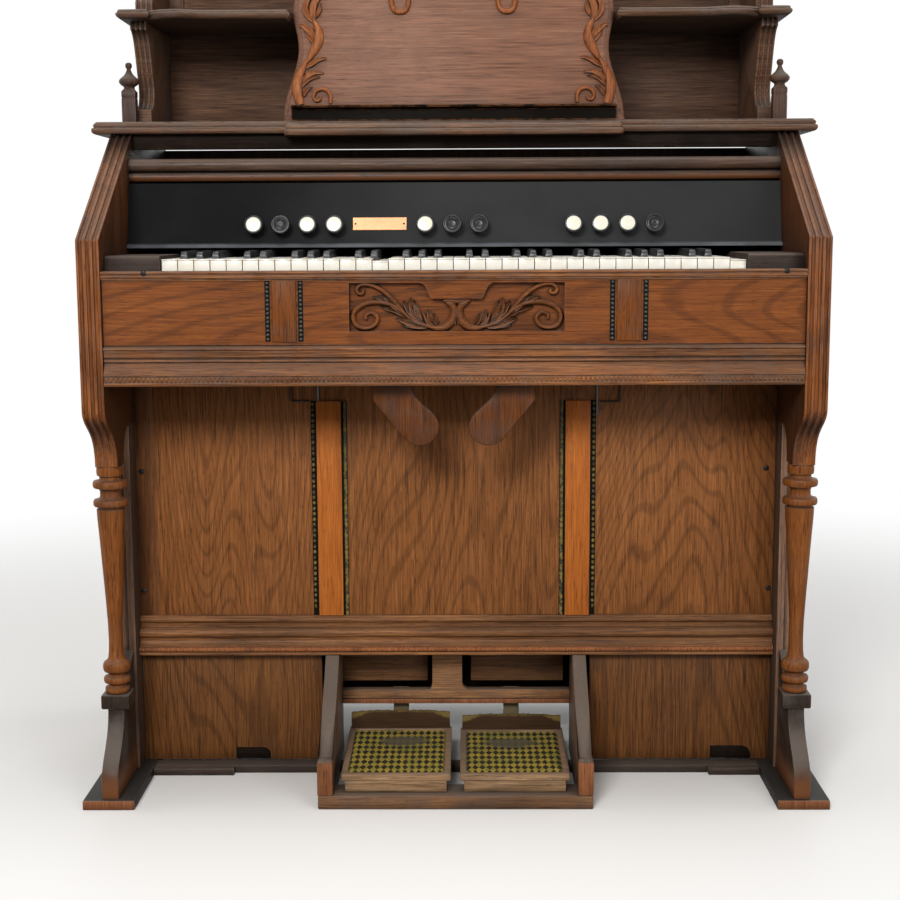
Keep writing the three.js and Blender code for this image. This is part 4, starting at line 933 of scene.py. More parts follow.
keyslipSettings = {
    "face": 0.008,
    "rear": 0.026,
    "bottom": 0.6913,
    "railBottom": 0.782,
    "railProfile": [(0.026, 0.7960), (0.0030, 0.7960), (0.0008, 0.7952), (0.0002, 0.7937), (0.0008, 0.7922),
                    (0.0026, 0.7916),
                    (0.0026, 0.7904), (0.0012, 0.7897), (0.0008, 0.7883), (0.0014, 0.7866),
                    (0.0036, 0.7858), (0.0036, 0.7845),
                    (0.0056, 0.7835), (0.0062, 0.7820), (0.026, 0.7820)],
    "recess": {"middle": 0.0048, "half": 0.1525, "bottom": 0.710, "top": 0.7785, "depth": 0.010},
    "block": {"centres": (-0.2397, 0.2483), "half": 0.0172, "bottom": 0.6955, "front": 0.0055},
    "beadOffset": 0.0235,
    "beadGround": 0.0036,
    "bead": (0.0029, 0.0027, 0.0027),
    "beadPitch": 0.0060,
    "screws": (-0.436, 0.468),
    "screwHeight": 0.7935,
}


def recessOutline():
    # The hollow's outline: square at its ends, with a lobe of the face board hanging in from the top.
    r = keyslipSettings["recess"]
    half, low, top, middle = r["half"], r["bottom"], r["top"], r["middle"]
    lobe = bezier((-0.0535, top), (-0.040, top - 0.001), (-0.0405, top - 0.021), (-0.0345, top - 0.0225),
                  10)
    right = [(-x, z) for x, z in reversed(lobe)]
    outline = [(-half, low), (-half, top)] + lobe + right + [(half, top), (half, low)]
    return [(x + middle, z) for x, z in outline]


def buildKeyslip():
    s = keyslipSettings
    low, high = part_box("keyslip")
    bm = bmesh.new()
    hollow = recessOutline()
    ring = [bm.verts.new(frontPlace(x, z, s["face"])) for x, z in hollow]
    outer = [(high.x, s["bottom"]), (low.x, s["bottom"]), (low.x, s["railBottom"] + 0.001),
             (high.x, s["railBottom"] + 0.001)]
    rim = [bm.verts.new(frontPlace(x, z, s["face"])) for x, z in outer]
    loops = [bm.edges.new(pair) for points in (ring, rim) for pair in zip(points, points[1:] + points[:1])]
    bmesh.ops.triangle_fill(bm, use_beauty=True, use_dissolve=False, edges=loops)
    walls = bmesh.ops.extrude_edge_only(bm, edges=loops[:len(ring)])["geom"]
    floorVerts = [part for part in walls if isinstance(part, bmesh.types.BMVert)]
    bmesh.ops.translate(bm, vec=(0, s["recess"]["depth"], 0), verts=floorVerts)
    floorEdges = [part for part in walls if isinstance(part, bmesh.types.BMEdge)
                  and part.verts[0] in floorVerts and part.verts[1] in floorVerts]
    bmesh.ops.contextual_create(bm, geom=floorEdges)
    sides = bmesh.ops.extrude_edge_only(bm, edges=loops[len(ring):])["geom"]
    rearVerts = [part for part in sides if isinstance(part, bmesh.types.BMVert)]
    bmesh.ops.translate(bm, vec=(0, s["rear"] - s["face"], 0), verts=rearVerts)
    rearEdges = [part for part in sides if isinstance(part, bmesh.types.BMEdge)
                 and part.verts[0] in rearVerts and part.verts[1] in rearVerts]
    bmesh.ops.contextual_create(bm, geom=rearEdges)
    piece("keyslip_board", bm, "keyslip", replaced=["keyslip"])
    bm = bmesh.new()
    mouldingInto(bm, s["railProfile"], (low.x, high.x))
    piece("keyslip_rail", bm, "mould")
    beads, grounds = bmesh.new(), bmesh.new()
    for side, hand in ((-1, "left"), (1, "right")):
        b = s["block"]
        bm = bmesh.new()
        centre = b["centres"][side > 0]
        slabInto(bm, (centre - b["half"], centre + b["half"]), (b["front"], s["face"] + 0.001),
                 (b["bottom"], s["railBottom"] + 0.0005), 0.0016)
        piece("keyslip_block_" + hand, bm, "block")
        for edge in (-1, 1):
            x = centre + edge * s["beadOffset"]
            slabInto(grounds, (x - s["beadGround"], x + s["beadGround"]),
                     (s["face"] - 0.0006, s["face"] + 0.001), (b["bottom"] + 0.0006, s["railBottom"]),
                     0.0003)
            beadsInto(beads, frontPlace(x, b["bottom"] + 0.001, s["face"] - 0.0006),
                      frontPlace(x, s["railBottom"], s["face"] - 0.0006),
                      s["bead"], s["beadPitch"])
    piece("keyslip_bead_grounds", grounds, "ground")
    piece("keyslip_beads", beads, "greenBead")
    bm = bmesh.new()
    for x in s["screws"]:
        screwInto(bm, frontPlace(x, s["screwHeight"], 0.001), (0, -1, 0), 0.0042)
    piece("keyslip_screws", bm, "iron")


def screwInto(bm, centre, out, radius):
    # A domed screw head with its slot.
    profile = [(0, 0.0012), (radius * 0.6, 0.0011), (radius * 0.9, 0.0006), (radius, 0), (radius, -0.0012),
               (0, -0.0012)]
    out = Vector(out).normalized()
    side = out.cross(Vector((0, 0, 1)) if abs(out.z) < 0.9 else Vector((1, 0, 0))).normalized()
    turnedInto(bm, profile, centre, out, side, 14)


# Carving of the keyslip: the strokes of one half, each a kind, a width and its points, in millimetres
# from the middle of the hollow and above its foot
keyslipCarving = {
    "height": 8.5,
    "bold": 1.75,
    "stretch": 1.023,
    "foot": 0.001,
    "strokes": [
        # stem that leaves the ring and runs up to the small volute
        ("stem", 4.6, [(-27, 2), (-50, 9), (-68, 20), (-80, 33), (-92, 47), (-105, 58), (-119, 64.5),
                       (-132, 65), (-138.5, 59), (-136, 52.5), (-130, 53), (-129.5, 57.5)],
                       {"start": 0.8, "end": 0.75}),
        # stem of the large volute
        ("stem", 5.2, [(-34, 4), (-56, 11), (-76, 27), (-92, 37), (-108, 40), (-125, 38.5), (-139, 31),
                       (-144.5, 19), (-139, 7), (-126, 3), (-114, 8), (-110, 18), (-117, 25), (-126, 22),
                       (-126, 16)], {"start": 0.6, "end": 0.6}),
        # upright leaf and its two lobes
        ("leaf", 9.5, [(-49, 10), (-57, 22), (-62, 35), (-64, 46)], {"start": 0.35, "end": 0.1}),
        ("leaf", 6.5, [(-55, 18), (-66, 28), (-74, 42)]),
        ("leaf", 6.0, [(-53, 17), (-56, 30), (-59, 43)]),
        # leaves along the stems
        ("leaf", 6.0, [(-72, 22), (-86, 34), (-97, 45), (-104, 50)]),
        ("leaf", 5.5, [(-78, 27), (-94, 40), (-108, 46), (-116, 47)]),
        ("leaf", 5.5, [(-66, 15), (-82, 27), (-94, 30), (-106, 34)]),
        # low leaf with its toothed edge
        ("leaf", 9.0, [(-40, 5), (-56, 8), (-70, 12), (-84, 17)]),
        ("leaf", 6.0, [(-50, 6), (-64, 7), (-76, 8)]),
        ("leaf", 5.0, [(-44, 8), (-58, 14), (-70, 18)]),
        # ring beside the middle and the leaf inside it
        ("stem", 7.5, [(-7, 38), (-3.5, 28), (-6, 15), (-15, 5), (-26, 2.5), (-37, 6), (-43, 15),
                       (-46, 24)], {"start": 0.8, "end": 0.25}),
        ("leaf", 7.0, [(-28, 7), (-36, 14), (-38, 22), (-41, 29)]),
        ("leaf", 5.0, [(-26, 8), (-31, 16), (-31, 24)]),
        # half of the middle: a bar on a waisted stem
        ("stem", 6.5, [(0, 41.5), (-9, 42), (-18, 42.5)], {"start": 1, "end": 0.7}),
        ("stem", 7.0, [(-14, 40), (-7, 36), (-3, 28), (-2.5, 18), (-2, 8)], {"start": 0.7, "end": 0.2}),
    ],
}


def carveInto(bm, strokes, place, height, bold=1):
    # The strokes are in millimetres, and place takes them as metres; both halves are carved.
    for side in (-1, 1):
        def halfPlace(x, z, out, side=side):
            return place(side * x / 1000, z / 1000, out / 1000)

        for kind, width, points, *ends in strokes:
            strokeInto(bm, smoothPath(points), width * bold, height, halfPlace, sections[kind],
                       **(ends[0] if ends else {}))


def buildKeyslipCarving():
    r = keyslipSettings["recess"]
    ground = keyslipSettings["face"] + r["depth"]
    c = keyslipCarving

    def carvedPlace(x, z, out):
        return frontPlace(r["middle"] - x * c["stretch"], r["bottom"] + c["foot"] + z, ground - out)

    bm = bmesh.new()
    carveInto(bm, c["strokes"], carvedPlace, c["height"], c["bold"])
    piece("keyslip_carving", bm, "carved", sharp=60)


materials["block"] = oak("oakBlock", "Z", (72, 39, 13), (128, 69, 23), (161, 89, 30), 15, rings=9,
                         dustAndSheen=0.35)
buildKeyBed()
buildKeyslip()
buildKeyslipCarving()
print("key bed and keyslip made")


# Keyboard

keySettings = {
    "count": 36,
    "pitch": 0.0232,
    "gap": 0.0008,
    "front": 0.038,
    "rear": 0.284,
    "top": 0.812,
    "height": 0.022,
    "plate": 0.0018,
    "frontPlate": 0.0016,
    "lip": 0.0016,
    "joint": 0.0868,
    "sharpFront": 0.088,
    "sharpWidth": 0.011,
    "sharpTopWidth": 0.0086,
    "sharpRise": 0.011,
    "sharpClear": 0.0009,
    "sunk": {13: 0.0035, 35: 0.0035},
    "movingFirst": 14,
    "sharpAfter": (True, True, True, False, True, True, False),
    "names": ("f", "g", "a", "b", "c", "d", "e"),
}


def hasSharp(index):
    return 0 <= index < keySettings["count"] - 1 and keySettings["sharpAfter"][index % 7]


def naturalCentre(index):
    return (index + 0.5 - keySettings["count"] / 2) * keySettings["pitch"]


def naturalInto(wood, ivory, index):
    s = keySettings
    drop = s["sunk"].get(index, 0)
    centre = naturalCentre(index)
    left, right = centre - (s["pitch"] - s["gap"]) / 2, centre + (s["pitch"] - s["gap"]) / 2
    bite = s["sharpWidth"] / 2 + s["sharpClear"] - s["gap"] / 2
    leftRear = left + (bite if hasSharp(index - 1) else 0)
    rightRear = right - (bite if hasSharp(index) else 0)
    top = s["top"] - drop
    woodTop = top - s["plate"]
    mouth = s["sharpFront"] - s["sharpClear"]
    frontWood = s["front"] + s["frontPlate"] + 0.0001
    slabInto(wood, (left, right), (frontWood, mouth), (top - s["height"], woodTop), 0.0006)
    slabInto(wood, (leftRear, rightRear), (mouth - 0.001, s["rear"]), (top - s["height"], woodTop), 0.0006)
    slabInto(ivory, (left, right), (s["front"] - s["lip"], s["joint"]), (woodTop + 0.0001, top), 0.0007)
    slabInto(ivory, (leftRear, rightRear), (s["joint"] + 0.00015, s["rear"] - 0.012),
             (woodTop + 0.0001, top), 0.0005)
    slabInto(ivory, (left + 0.0002, right - 0.0002), (s["front"], s["front"] + s["frontPlate"]),
             (top - s["height"] + 0.001, woodTop), 0.0003)


def sharpInto(bm, index):
    s = keySettings
    centre = naturalCentre(index) + s["pitch"] / 2
    foot = s["top"] - s["height"]
    base, crown = s["sharpWidth"] / 2, s["sharpTopWidth"] / 2
    stations = []
    for depth, rise in ((s["sharpFront"], 0.004), (s["sharpFront"] + 0.0014, 0.0078),
                        (s["sharpFront"] + 0.0036, 0.0101),
                        (s["sharpFront"] + 0.0070, 0.0110), (s["rear"], 0.0110)):
        level = s["top"] + rise
        narrow = base + (crown - base) * rise / s["sharpRise"]
        edge = narrow * 0.28
        stations.append([frontPlace(x, z, depth) for x, z in (
            (centre - base, foot), (centre + base, foot), (centre + base, s["top"]),
            (centre + narrow, level - edge),
            (centre + narrow - edge * 0.35, level - edge * 0.3), (centre + narrow - edge, level),
            (centre - narrow + edge, level),
            (centre - narrow + edge * 0.35, level - edge * 0.3), (centre - narrow, level - edge),
            (centre - base, s["top"]))])
    sweptInto(bm, stations)


def keyPiece(name, wood, ivory, body, replaced):
    piece(name, ivory, "ivory", body, replaced)
    piece(name + "_stick", wood, "stick", body)


def buildKeys():
    s = keySettings
    fixedWood, fixedIvory, fixedSharps = bmesh.new(), bmesh.new(), bmesh.new()
    for index in range(s["count"]):
        step = index - s["movingFirst"]
        moving = 0 <= step < len(s["names"])
        if not moving:
            naturalInto(fixedWood, fixedIvory, index)
            if hasSharp(index):
                sharpInto(fixedSharps, index)
            continue
        wood, ivory = bmesh.new(), bmesh.new()
        naturalInto(wood, ivory, index)
        body = "key_" + s["names"][step]
        keyPiece("natural_" + s["names"][step], wood, ivory, body, [body])
        if hasSharp(index):
            bm = bmesh.new()
            sharpInto(bm, index)
            piece("sharp_" + s["names"][step], bm, "sharp", body + "_sharp",
                  [body + "_sharp"])
    keyPiece("naturals", fixedWood, fixedIvory, "case", ["key_frame"])
    piece("sharps", fixedSharps, "sharp", "case")


keyFrameSettings = {
    "blockFront": 0.028,
    "blockTop": 0.8175,
    "blockRound": 0.006,
    "stopBoardFront": 0.185,
    "bottom": 0.765,
    "frontRail": ((0.052, 0.078), (0.765, 0.779)),
    "rearRail": ((0.282, 0.310), (0.765, 0.812)),
}


def buildKeyFrame():
    s = keyFrameSettings
    half = keySettings["count"] * keySettings["pitch"] / 2
    low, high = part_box("key_frame")
    bm = bmesh.new()
    for depths, heights in (s["frontRail"], s["rearRail"]):
        slabInto(bm, (low.x, high.x), depths, heights, 0.001)
    nose = arc((s["blockFront"] + s["blockRound"], s["blockTop"] - s["blockRound"]), s["blockRound"], 180,
               90, 5)
    outline = [(s["blockFront"], s["bottom"])] + nose + [(s["stopBoardFront"], s["blockTop"]),
                                                         (0.2805, 0.7960), (0.2805, s["bottom"])]
    for side in (-1, 1):
        plateInto(bm, outline, (side * (half + 0.0008), side * high.x), acrossPlace, 0.0012)
    piece("key_frame_wood", bm, "keyBlock")


buildKeys()
buildKeyFrame()
print("keyboard made")


# Stop board, stops, plate and fall

stopBoardSettings = {
    "front": 0.185,
    "bottom": 0.8265,
    "top": 0.924,
    "lean": 0.025,
    "thickness": 0.0124,
    "ledge": 0.006,
}


def stopPlane(x, height, out):
    # A point on the leaning face of the stop board, moved out along its normal.
    s = stopBoardSettings
    tall = s["top"] - s["bottom"]
    depth = s["front"] + (height - s["bottom"]) * s["lean"] / tall
    normal = Vector((0, -tall, s["lean"])).normalized()
    return frontPlace(x, height, depth) + normal * out


def buildStopBoard():
    s = stopBoardSettings
    low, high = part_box("stop_board")
    outline = [(s["front"] - s["ledge"], s["bottom"]), (s["front"] - s["ledge"], s["bottom"] + 0.0030),
               (s["front"] - s["ledge"] + 0.0012, s["bottom"] + 0.0046),
               (s["front"] - 0.0006, s["bottom"] + 0.0052),
               (s["front"] + 0.0016, s["bottom"] + 0.0066), (s["front"] + s["lean"], s["top"]),
               (s["front"] + s["lean"] + s["thickness"], s["top"]),
               (s["front"] + s["thickness"], s["bottom"])]
    bm = bmesh.new()
    mouldingInto(bm, outline, (low.x, high.x))
    piece("ebonised_stop_board", bm, "ebonised", replaced=["stop_board"])


stopSettings = {
    "height": 0.8565,
    "inner": 0.181,
    "pitch": 0.0407,
    "middle": -0.0025,
    "headRadius": 0.0145,
    "headLength": 0.021,
    "faceRadius": 0.0113,
    "stemRadius": 0.005,
    "stemLength": 0.058,
    "seat": 0.0006,
    "white": (1, 3, 4, 5, 8, 9, 10),
    # the head's turning and the ringed face of the black ones, as shares of its radius and length
    "turning": ((0.56, 0), (0.60, 0.03), (0.60, 0.07), (0.50, 0.11), (0.45, 0.2), (0.44, 0.34),
                (0.48, 0.46),
                (0.60, 0.57), (0.80, 0.66), (0.94, 0.74), (1.0, 0.83), (1.0, 0.91), (0.96, 0.965),
                (0.90, 0.99)),
    "rings": ((0.84, 0.985), (0.80, 0.93), (0.76, 0.90), (0.66, 0.90), (0.61, 0.93), (0.56, 0.95),
              (0.50, 0.93),
              (0.44, 0.89), (0.30, 0.87), (0.16, 0.86), (0.13, 0.82), (0.12, 0.76), (0, 0.75)),
}


def stopPlaces():
    s = stopSettings
    left = [-s["inner"] - i * s["pitch"] for i in (3, 2, 1, 0)]
    middle = [s["middle"] + i * s["pitch"] for i in (-1, 0, 1)]
    return left + middle + [s["inner"] + i * s["pitch"] for i in range(4)]


def buildStop(number, x):
    s = stopSettings
    out = Vector((0, stopBoardSettings["bottom"] - stopBoardSettings["top"],
                  stopBoardSettings["lean"])).normalized()
    centre = stopPlane(x, s["height"], 0)
    head, rim = s["headRadius"], s["seat"] + s["headLength"]
    profile = [(0, -s["stemLength"]), (s["stemRadius"], -s["stemLength"]), (s["stemRadius"], s["seat"])]
    profile += [(head * radius, s["seat"] + s["headLength"] * length) for radius, length in s["turning"]]
    name, body = "stop_knob_%d" % number, "stop_%d" % number
    bm = bmesh.new()
    if number in s["white"]:
        profile += [(s["faceRadius"], rim - 0.0002), (s["faceRadius"], rim - 0.0022), (0, rim - 0.0022)]
        turnedInto(bm, profile, centre, out, (1, 0, 0), 32)
        piece(name, bm, "polish", body, [body], sharp=45)
        bm = bmesh.new()
        face = [(0, rim + 0.0002), (s["faceRadius"] * 0.7, rim), (s["faceRadius"] * 0.95, rim - 0.0004),
                (s["faceRadius"] - 0.0001, rim - 0.0010), (s["faceRadius"] - 0.0001, rim - 0.0021),
                (0, rim - 0.0021)]
        turnedInto(bm, face, centre, out, (1, 0, 0), 32)
        piece("stop_face_%d" % number, bm, "porcelain", body)
        return
    profile += [(head * radius, s["seat"] + s["headLength"] * length) for radius, length in s["rings"]]
    turnedInto(bm, profile, centre, out, (1, 0, 0), 32)
    piece(name, bm, "polish", body, [body], sharp=45)


plateSettings = {"xs": (-0.154, -0.072), "heights": (0.852, 0.871), "thickness": 0.0012,
                 "screwInset": 0.0042}


def buildPlate():
    s = plateSettings
    bm = bmesh.new()
    outline = rectangle(s["xs"], s["heights"])
    layeredInto(bm, outline, [(0.0001, 0), (s["thickness"] - 0.0004, 0), (s["thickness"], 0.0004)],
                stopPlane)
    piece("bare_plate", bm, "plate")
    bm = bmesh.new()
    middle = sum(s["heights"]) / 2
    for x in (s["xs"][0] + s["screwInset"], s["xs"][1] - s["screwInset"]):
        screwInto(bm, stopPlane(x, middle, s["thickness"] + 0.0004),
                  stopPlane(0, 0.86, 1) - stopPlane(0, 0.86, 0), 0.0015)
    piece("plate_screws", bm, "iron")


fallSettings = {"front": 0.207, "bottom": 0.926, "lower": 0.0076, "upper": 0.0100, "thickness": 0.012}


def buildFall():
    s = fallSettings
    low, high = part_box("fallboard")
    rear = high.y - caseFront
    middle = s["bottom"] + 2 * s["lower"]
    top = middle + 2 * s["upper"]
    lower = arc((s["front"] + s["upper"], s["bottom"] + s["lower"]), s["lower"], 270, 90, 12)
    upper = arc((s["front"] + s["upper"], middle + s["upper"]), s["upper"], 270, 90, 14)
    flat = (s["front"] + s["upper"] * 2.2, top - 0.0004)
    outline = [(s["front"] + s["upper"] * 2, s["bottom"])] + lower + [(s["front"] + s["upper"] * 0.96,
                                                                       middle)] + upper
    outline += [flat, (flat[0] + 0.001, middle + s["thickness"]), (rear, middle + s["thickness"]),
                (rear, middle), (s["front"] + 0.02, middle)]
    bm = bmesh.new()
    mouldingInto(bm, outline, (low.x, high.x))
    piece("sliding_fall", bm, "fall", "fallboard", ["fallboard"])


buildStopBoard()
for number, place in enumerate(stopPlaces(), 1):
    buildStop(number, place)
buildPlate()
buildFall()
print("stop board and fall made")


# Main shelf and its frieze

shelfSettings = {
    "half": 0.5585,
    "front": 0.235,
    "heights": (1.000, 1.019),
    # height and inset of the moulded edge, from the foot up
    "edge": [(1.0000, 0.0050), (1.0008, 0.0030), (1.0022, 0.0013), (1.0044, 0.0003), (1.0066, 0.0000),
             (1.0086, 0.0006),
             (1.0098, 0.0018), (1.0103, 0.0034), (1.0112, 0.0034), (1.0124, 0.0026), (1.0146, 0.0028),
             (1.0164, 0.0040),
             (1.0172, 0.0056), (1.0186, 0.0058), (1.0190, 0.0064)],
    "breakHalf": 0.262,
    "breakFront": 0.210,
    "breakDrop": 0.005,
    "breakRear": 0.262,
    "frieze": ((0.250, 0.262), (0.977, 1.0015)),
}


def breakfrontOutline():
    # A straight front that turns in at each end by a round nose and a small hollow.
    s = shelfSettings
    half, front, back = s["breakHalf"], s["breakFront"], s["front"]
    nose = bezier((half - 0.014, front), (half - 0.004, front), (half - 0.001, front + 0.004),
                  (half - 0.003, front + 0.011), 8)
    hollow = bezier((half - 0.003, front + 0.011), (half - 0.005, front + 0.017),
                    (half - 0.003, back - 0.002), (half, back + 0.002), 7)
    right = nose + hollow[1:] + [(half, s["breakRear"])]
    return mirrored(right)


def buildMainShelf():
    s = shelfSettings
    rear = caseRear - caseFront
    bm = bmesh.new()
    outline = [(-s["half"], rear), (-s["half"], s["front"]), (s["half"], s["front"]), (s["half"], rear)]
    layeredInto(bm, outline, s["edge"], planPlace, [0, 1, 1, 0])
    dropped = [(height - s["breakDrop"], inset) for height, inset in s["edge"]]
    layeredInto(bm, breakfrontOutline(), dropped, planPlace)
    piece("moulded_main_shelf", bm, "shelf", replaced=["main_shelf"])
    low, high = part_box("keyslip")
    bm = bmesh.new()
    slabInto(bm, (low.x, high.x), s["frieze"][0], s["frieze"][1], 0.0008)
    piece("shelf_frieze", bm, "frieze")


# Shelf ends, posts, upper shelf and back

upperEndSettings = {
    # the points below run / drop as shares of the run and of the height, from the top's front corner
    "top": 0.262,
    "run": 0.110,
    "flutes": 3,
    "fluteShare": 0.66,
    "fluteDepth": 0.0026,
    "arris": 0.0014,
    "lip": (0, 0.08),
    "hollow": (0.24, 0.12),
    "belly": (0.28, 0.36),
    "waist": (0.43, 0.58),
    "calf": (0.50, 0.69),
    "ankle": (0.44, 0.80),
    "toe": (0.31, 0.845),
    "heel": (0.17, 0.865),
}


def shelfFlutes(ends):
    s = upperEndSettings
    return flutedLayers(ends, s["flutes"], s["fluteShare"], s["fluteDepth"], s["arris"])


def buildUpperEnd(side, hand):
    s = upperEndSettings
    low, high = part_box("upper_end_" + hand)
    rise = high.z - low.z

    def at(spot):
        return (s["top"] + s["run"] * spot[0], high.z - rise * spot[1])

    front = [(s["top"], high.z)] + bezier(at(s["lip"]), at(s["hollow"]), at(s["belly"]), at(s["waist"]), 16)
    front += bezier(at(s["waist"]), at(s["calf"]), at(s["ankle"]), at(s["toe"]), 10)[1:]
    outline = front + [at(s["heel"]), (at(s["heel"])[0], low.z), (high.y - caseFront, low.z),
                       (high.y - caseFront, high.z)]
    weights = [1] * (len(front) - 1) + [0.5, 0, 0, 0, 0]
    bm = bmesh.new()
    layeredInto(bm, outline, shelfFlutes((low.x, high.x)), acrossPlace, weights)
    piece("shelf_end_" + hand, bm, "shelf", replaced=["upper_end_" + hand])


finialSettings = {
    "half": 0.0105,
    "postTop": 0.0510,
    "chamfer": 0.0045,
    "profile": [(0.0082, -0.003), (0.0082, 0.0020), (0.0090, 0.0036), (0.0124, 0.0056), (0.0148, 0.0084),
                (0.0156, 0.0112), (0.0152, 0.0132),
                (0.0134, 0.0156), (0.0108, 0.0178), (0.0080, 0.0202), (0.0058, 0.0230), (0.0042, 0.0262),
                (0.0034, 0.0285),
                (0.0030, 0.0296), (0.0034, 0.0306), (0.0046, 0.0322), (0.0052, 0.0346), (0.0051, 0.0368),
                (0.0040, 0.0388),
                (0.0022, 0.0398), (0, 0.0401)],
}


def buildFinial(side, hand):
    s = finialSettings
    low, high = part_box("finial_" + hand)
    middle = (low + high) / 2
    half, foot, top = s["half"], low.z, low.z + s["postTop"]
    square = rectangle((-half, half), (-half, half))
    shoulder = top - s["chamfer"]
    layers = [(foot, 0), (shoulder - 0.012, 0), (shoulder - 0.009, 0.0006), (shoulder - 0.0075, 0),
              (shoulder, 0),
              (top - 0.0012, 0.0026), (top, 0.0034)]
    bm = bmesh.new()
    layeredInto(bm, square, layers, lambda x, y, z: Vector((middle.x + x, middle.y + y, z)))
    turnedInto(bm, [(0, -0.003)] + s["profile"], (middle.x, middle.y, top), (0, 0, 1), (1, 0, 0), 28)
    piece("post_finial_" + hand, bm, "post", replaced=["finial_" + hand], sharp=50)


upperShelfSettings = {
    "half": 0.514,
    "front": 0.224,
    "tip": 0.052,
    "bulge": 0.014,
    "wave": 0.084,
    "notch": (0.250, 0.304),
    # height share and inset of the moulded edge, from the foot up
    "edge": [(0, 0.0060), (0.10, 0.0040), (0.24, 0.0016), (0.38, 0.0003), (0.52, 0.0000), (0.64, 0.0006),
             (0.70, 0.0018), (0.74, 0.0030),
             (0.82, 0.0026), (0.93, 0.0034), (1, 0.0048)],
}


def buildUpperShelf():
    s = upperShelfSettings
    low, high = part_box("upper_shelf")
    rear = high.y - caseFront
    tip = s["half"] - s["tip"]
    wave = tip - s["wave"]
    straight = s["front"] + s["bulge"]
    bulge = bezier((wave, straight), (wave + s["wave"] * 0.22, straight - 0.001),
                   (wave + s["wave"] * 0.3, s["front"] + 0.001),
                   (wave + s["wave"] * 0.55, s["front"] + 0.0005), 8)
    bulge += bezier(bulge[-1], (tip - s["wave"] * 0.2, s["front"] + 0.0005),
                    (tip - s["wave"] * 0.08, straight - 0.004),
                    (tip, straight + 0.002), 7)[1:]
    right = [(s["notch"][0], s["notch"][1]), (s["notch"][0], straight)] + bulge
    right += [(tip, s["front"]), (s["half"] - 0.004, s["front"] + 0.002),
              (s["half"], s["front"] + s["bulge"] / 2), (s["half"], rear)]
    outline = mirrored(right)
    flat = [1] * len(right)
    flat[0] = flat[-1] = 0
    tall = high.z - low.z
    layers = [(low.z + share * tall, inset) for share, inset in s["edge"]]
    bm = bmesh.new()
    layeredInto(bm, outline, layers, planPlace, flat[::-1] + flat)
    piece("waved_upper_shelf", bm, "shelf", replaced=["upper_shelf"])


upperBackSettings = {"thickness": 0.012, "fillet": {"xs": (0.2620, 0.4735), "proud": 0.0030, "tall": 0.006}}


def buildUpperBack():
    s, fillet = upperBackSettings, upperBackSettings["fillet"]
    low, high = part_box("upper_back")
    front = high.y - caseFront - s["thickness"]
    bm = bmesh.new()
    boxInto(bm, (low.x, high.y - s["thickness"], low.z), (high.x, high.y, high.z), 0.0008)
    for side in (-1, 1):
        slabInto(bm, [side * x for x in fillet["xs"]], (front - fillet["proud"], front + 0.0005),
                 (low.z, low.z + fillet["tall"]), 0.001)
    piece("upper_back_board", bm, "upperBack", replaced=["upper_back"])


# Gallery above the upper shelf, with its cornice and crest

gallerySettings = {
    "half": 0.499,
    "endWidth": 0.027,
    "endFront": 0.306,
    "back": (0.450, 0.462),
    "top": 1.370,
    "corniceTop": 1.390,
    "cornice": [(0.462, 1.3695), (0.3075, 1.3695), (0.3060, 1.3720), (0.3010, 1.3735), (0.2985, 1.3765),
                (0.2975, 1.3790), (0.2935, 1.3800),
                (0.2905, 1.3825), (0.2900, 1.3850), (0.2905, 1.3880), (0.2925, 1.3900), (0.462, 1.3900)],
    "corniceOver": 0.0155,
    "panelMargin": 0.020,
    "crestDepths": (0.442, 0.462),
}


def raisedPanelInto(bm, xs, heights, depth):
    # A fielded panel: a sunk quirk, a bevel and a flat field.
    steps = [(0.002, 0), (-0.0035, 0), (-0.0050, 0.0012), (-0.0050, 0.0034), (-0.0028, 0.0042),
             (-0.0010, 0.0060), (-0.0052, 0.0260), (-0.0060, 0.0264)]
    layeredInto(bm, rectangle(xs, heights), [(depth + move, inset) for move, inset in steps], frontPlace)


def galleryEndOutline(low, top):
    s = gallerySettings
    front, back = s["endFront"], s["back"][1]
    rise, run = top - low, (s["back"][0] - front) / 2
    upper = bezier((front, top - rise * 0.11), (front + run * 0.9, top - rise * 0.24),
                   (front + run * 1.35, top - rise * 0.52),
                   (front + run * 0.52, top - rise * 0.80), 22)
    lower = bezier(upper[-1], (front + run * 0.36, top - rise * 0.86),
                   (front + run * 0.12, top - rise * 0.80), (front, top - rise * 0.885), 7)[1:]
    shaped = [(front, top)] + upper + lower + [(front, low)]
    return shaped + [(back, low), (back, top)], [1] * len(shaped) + [0, 0]


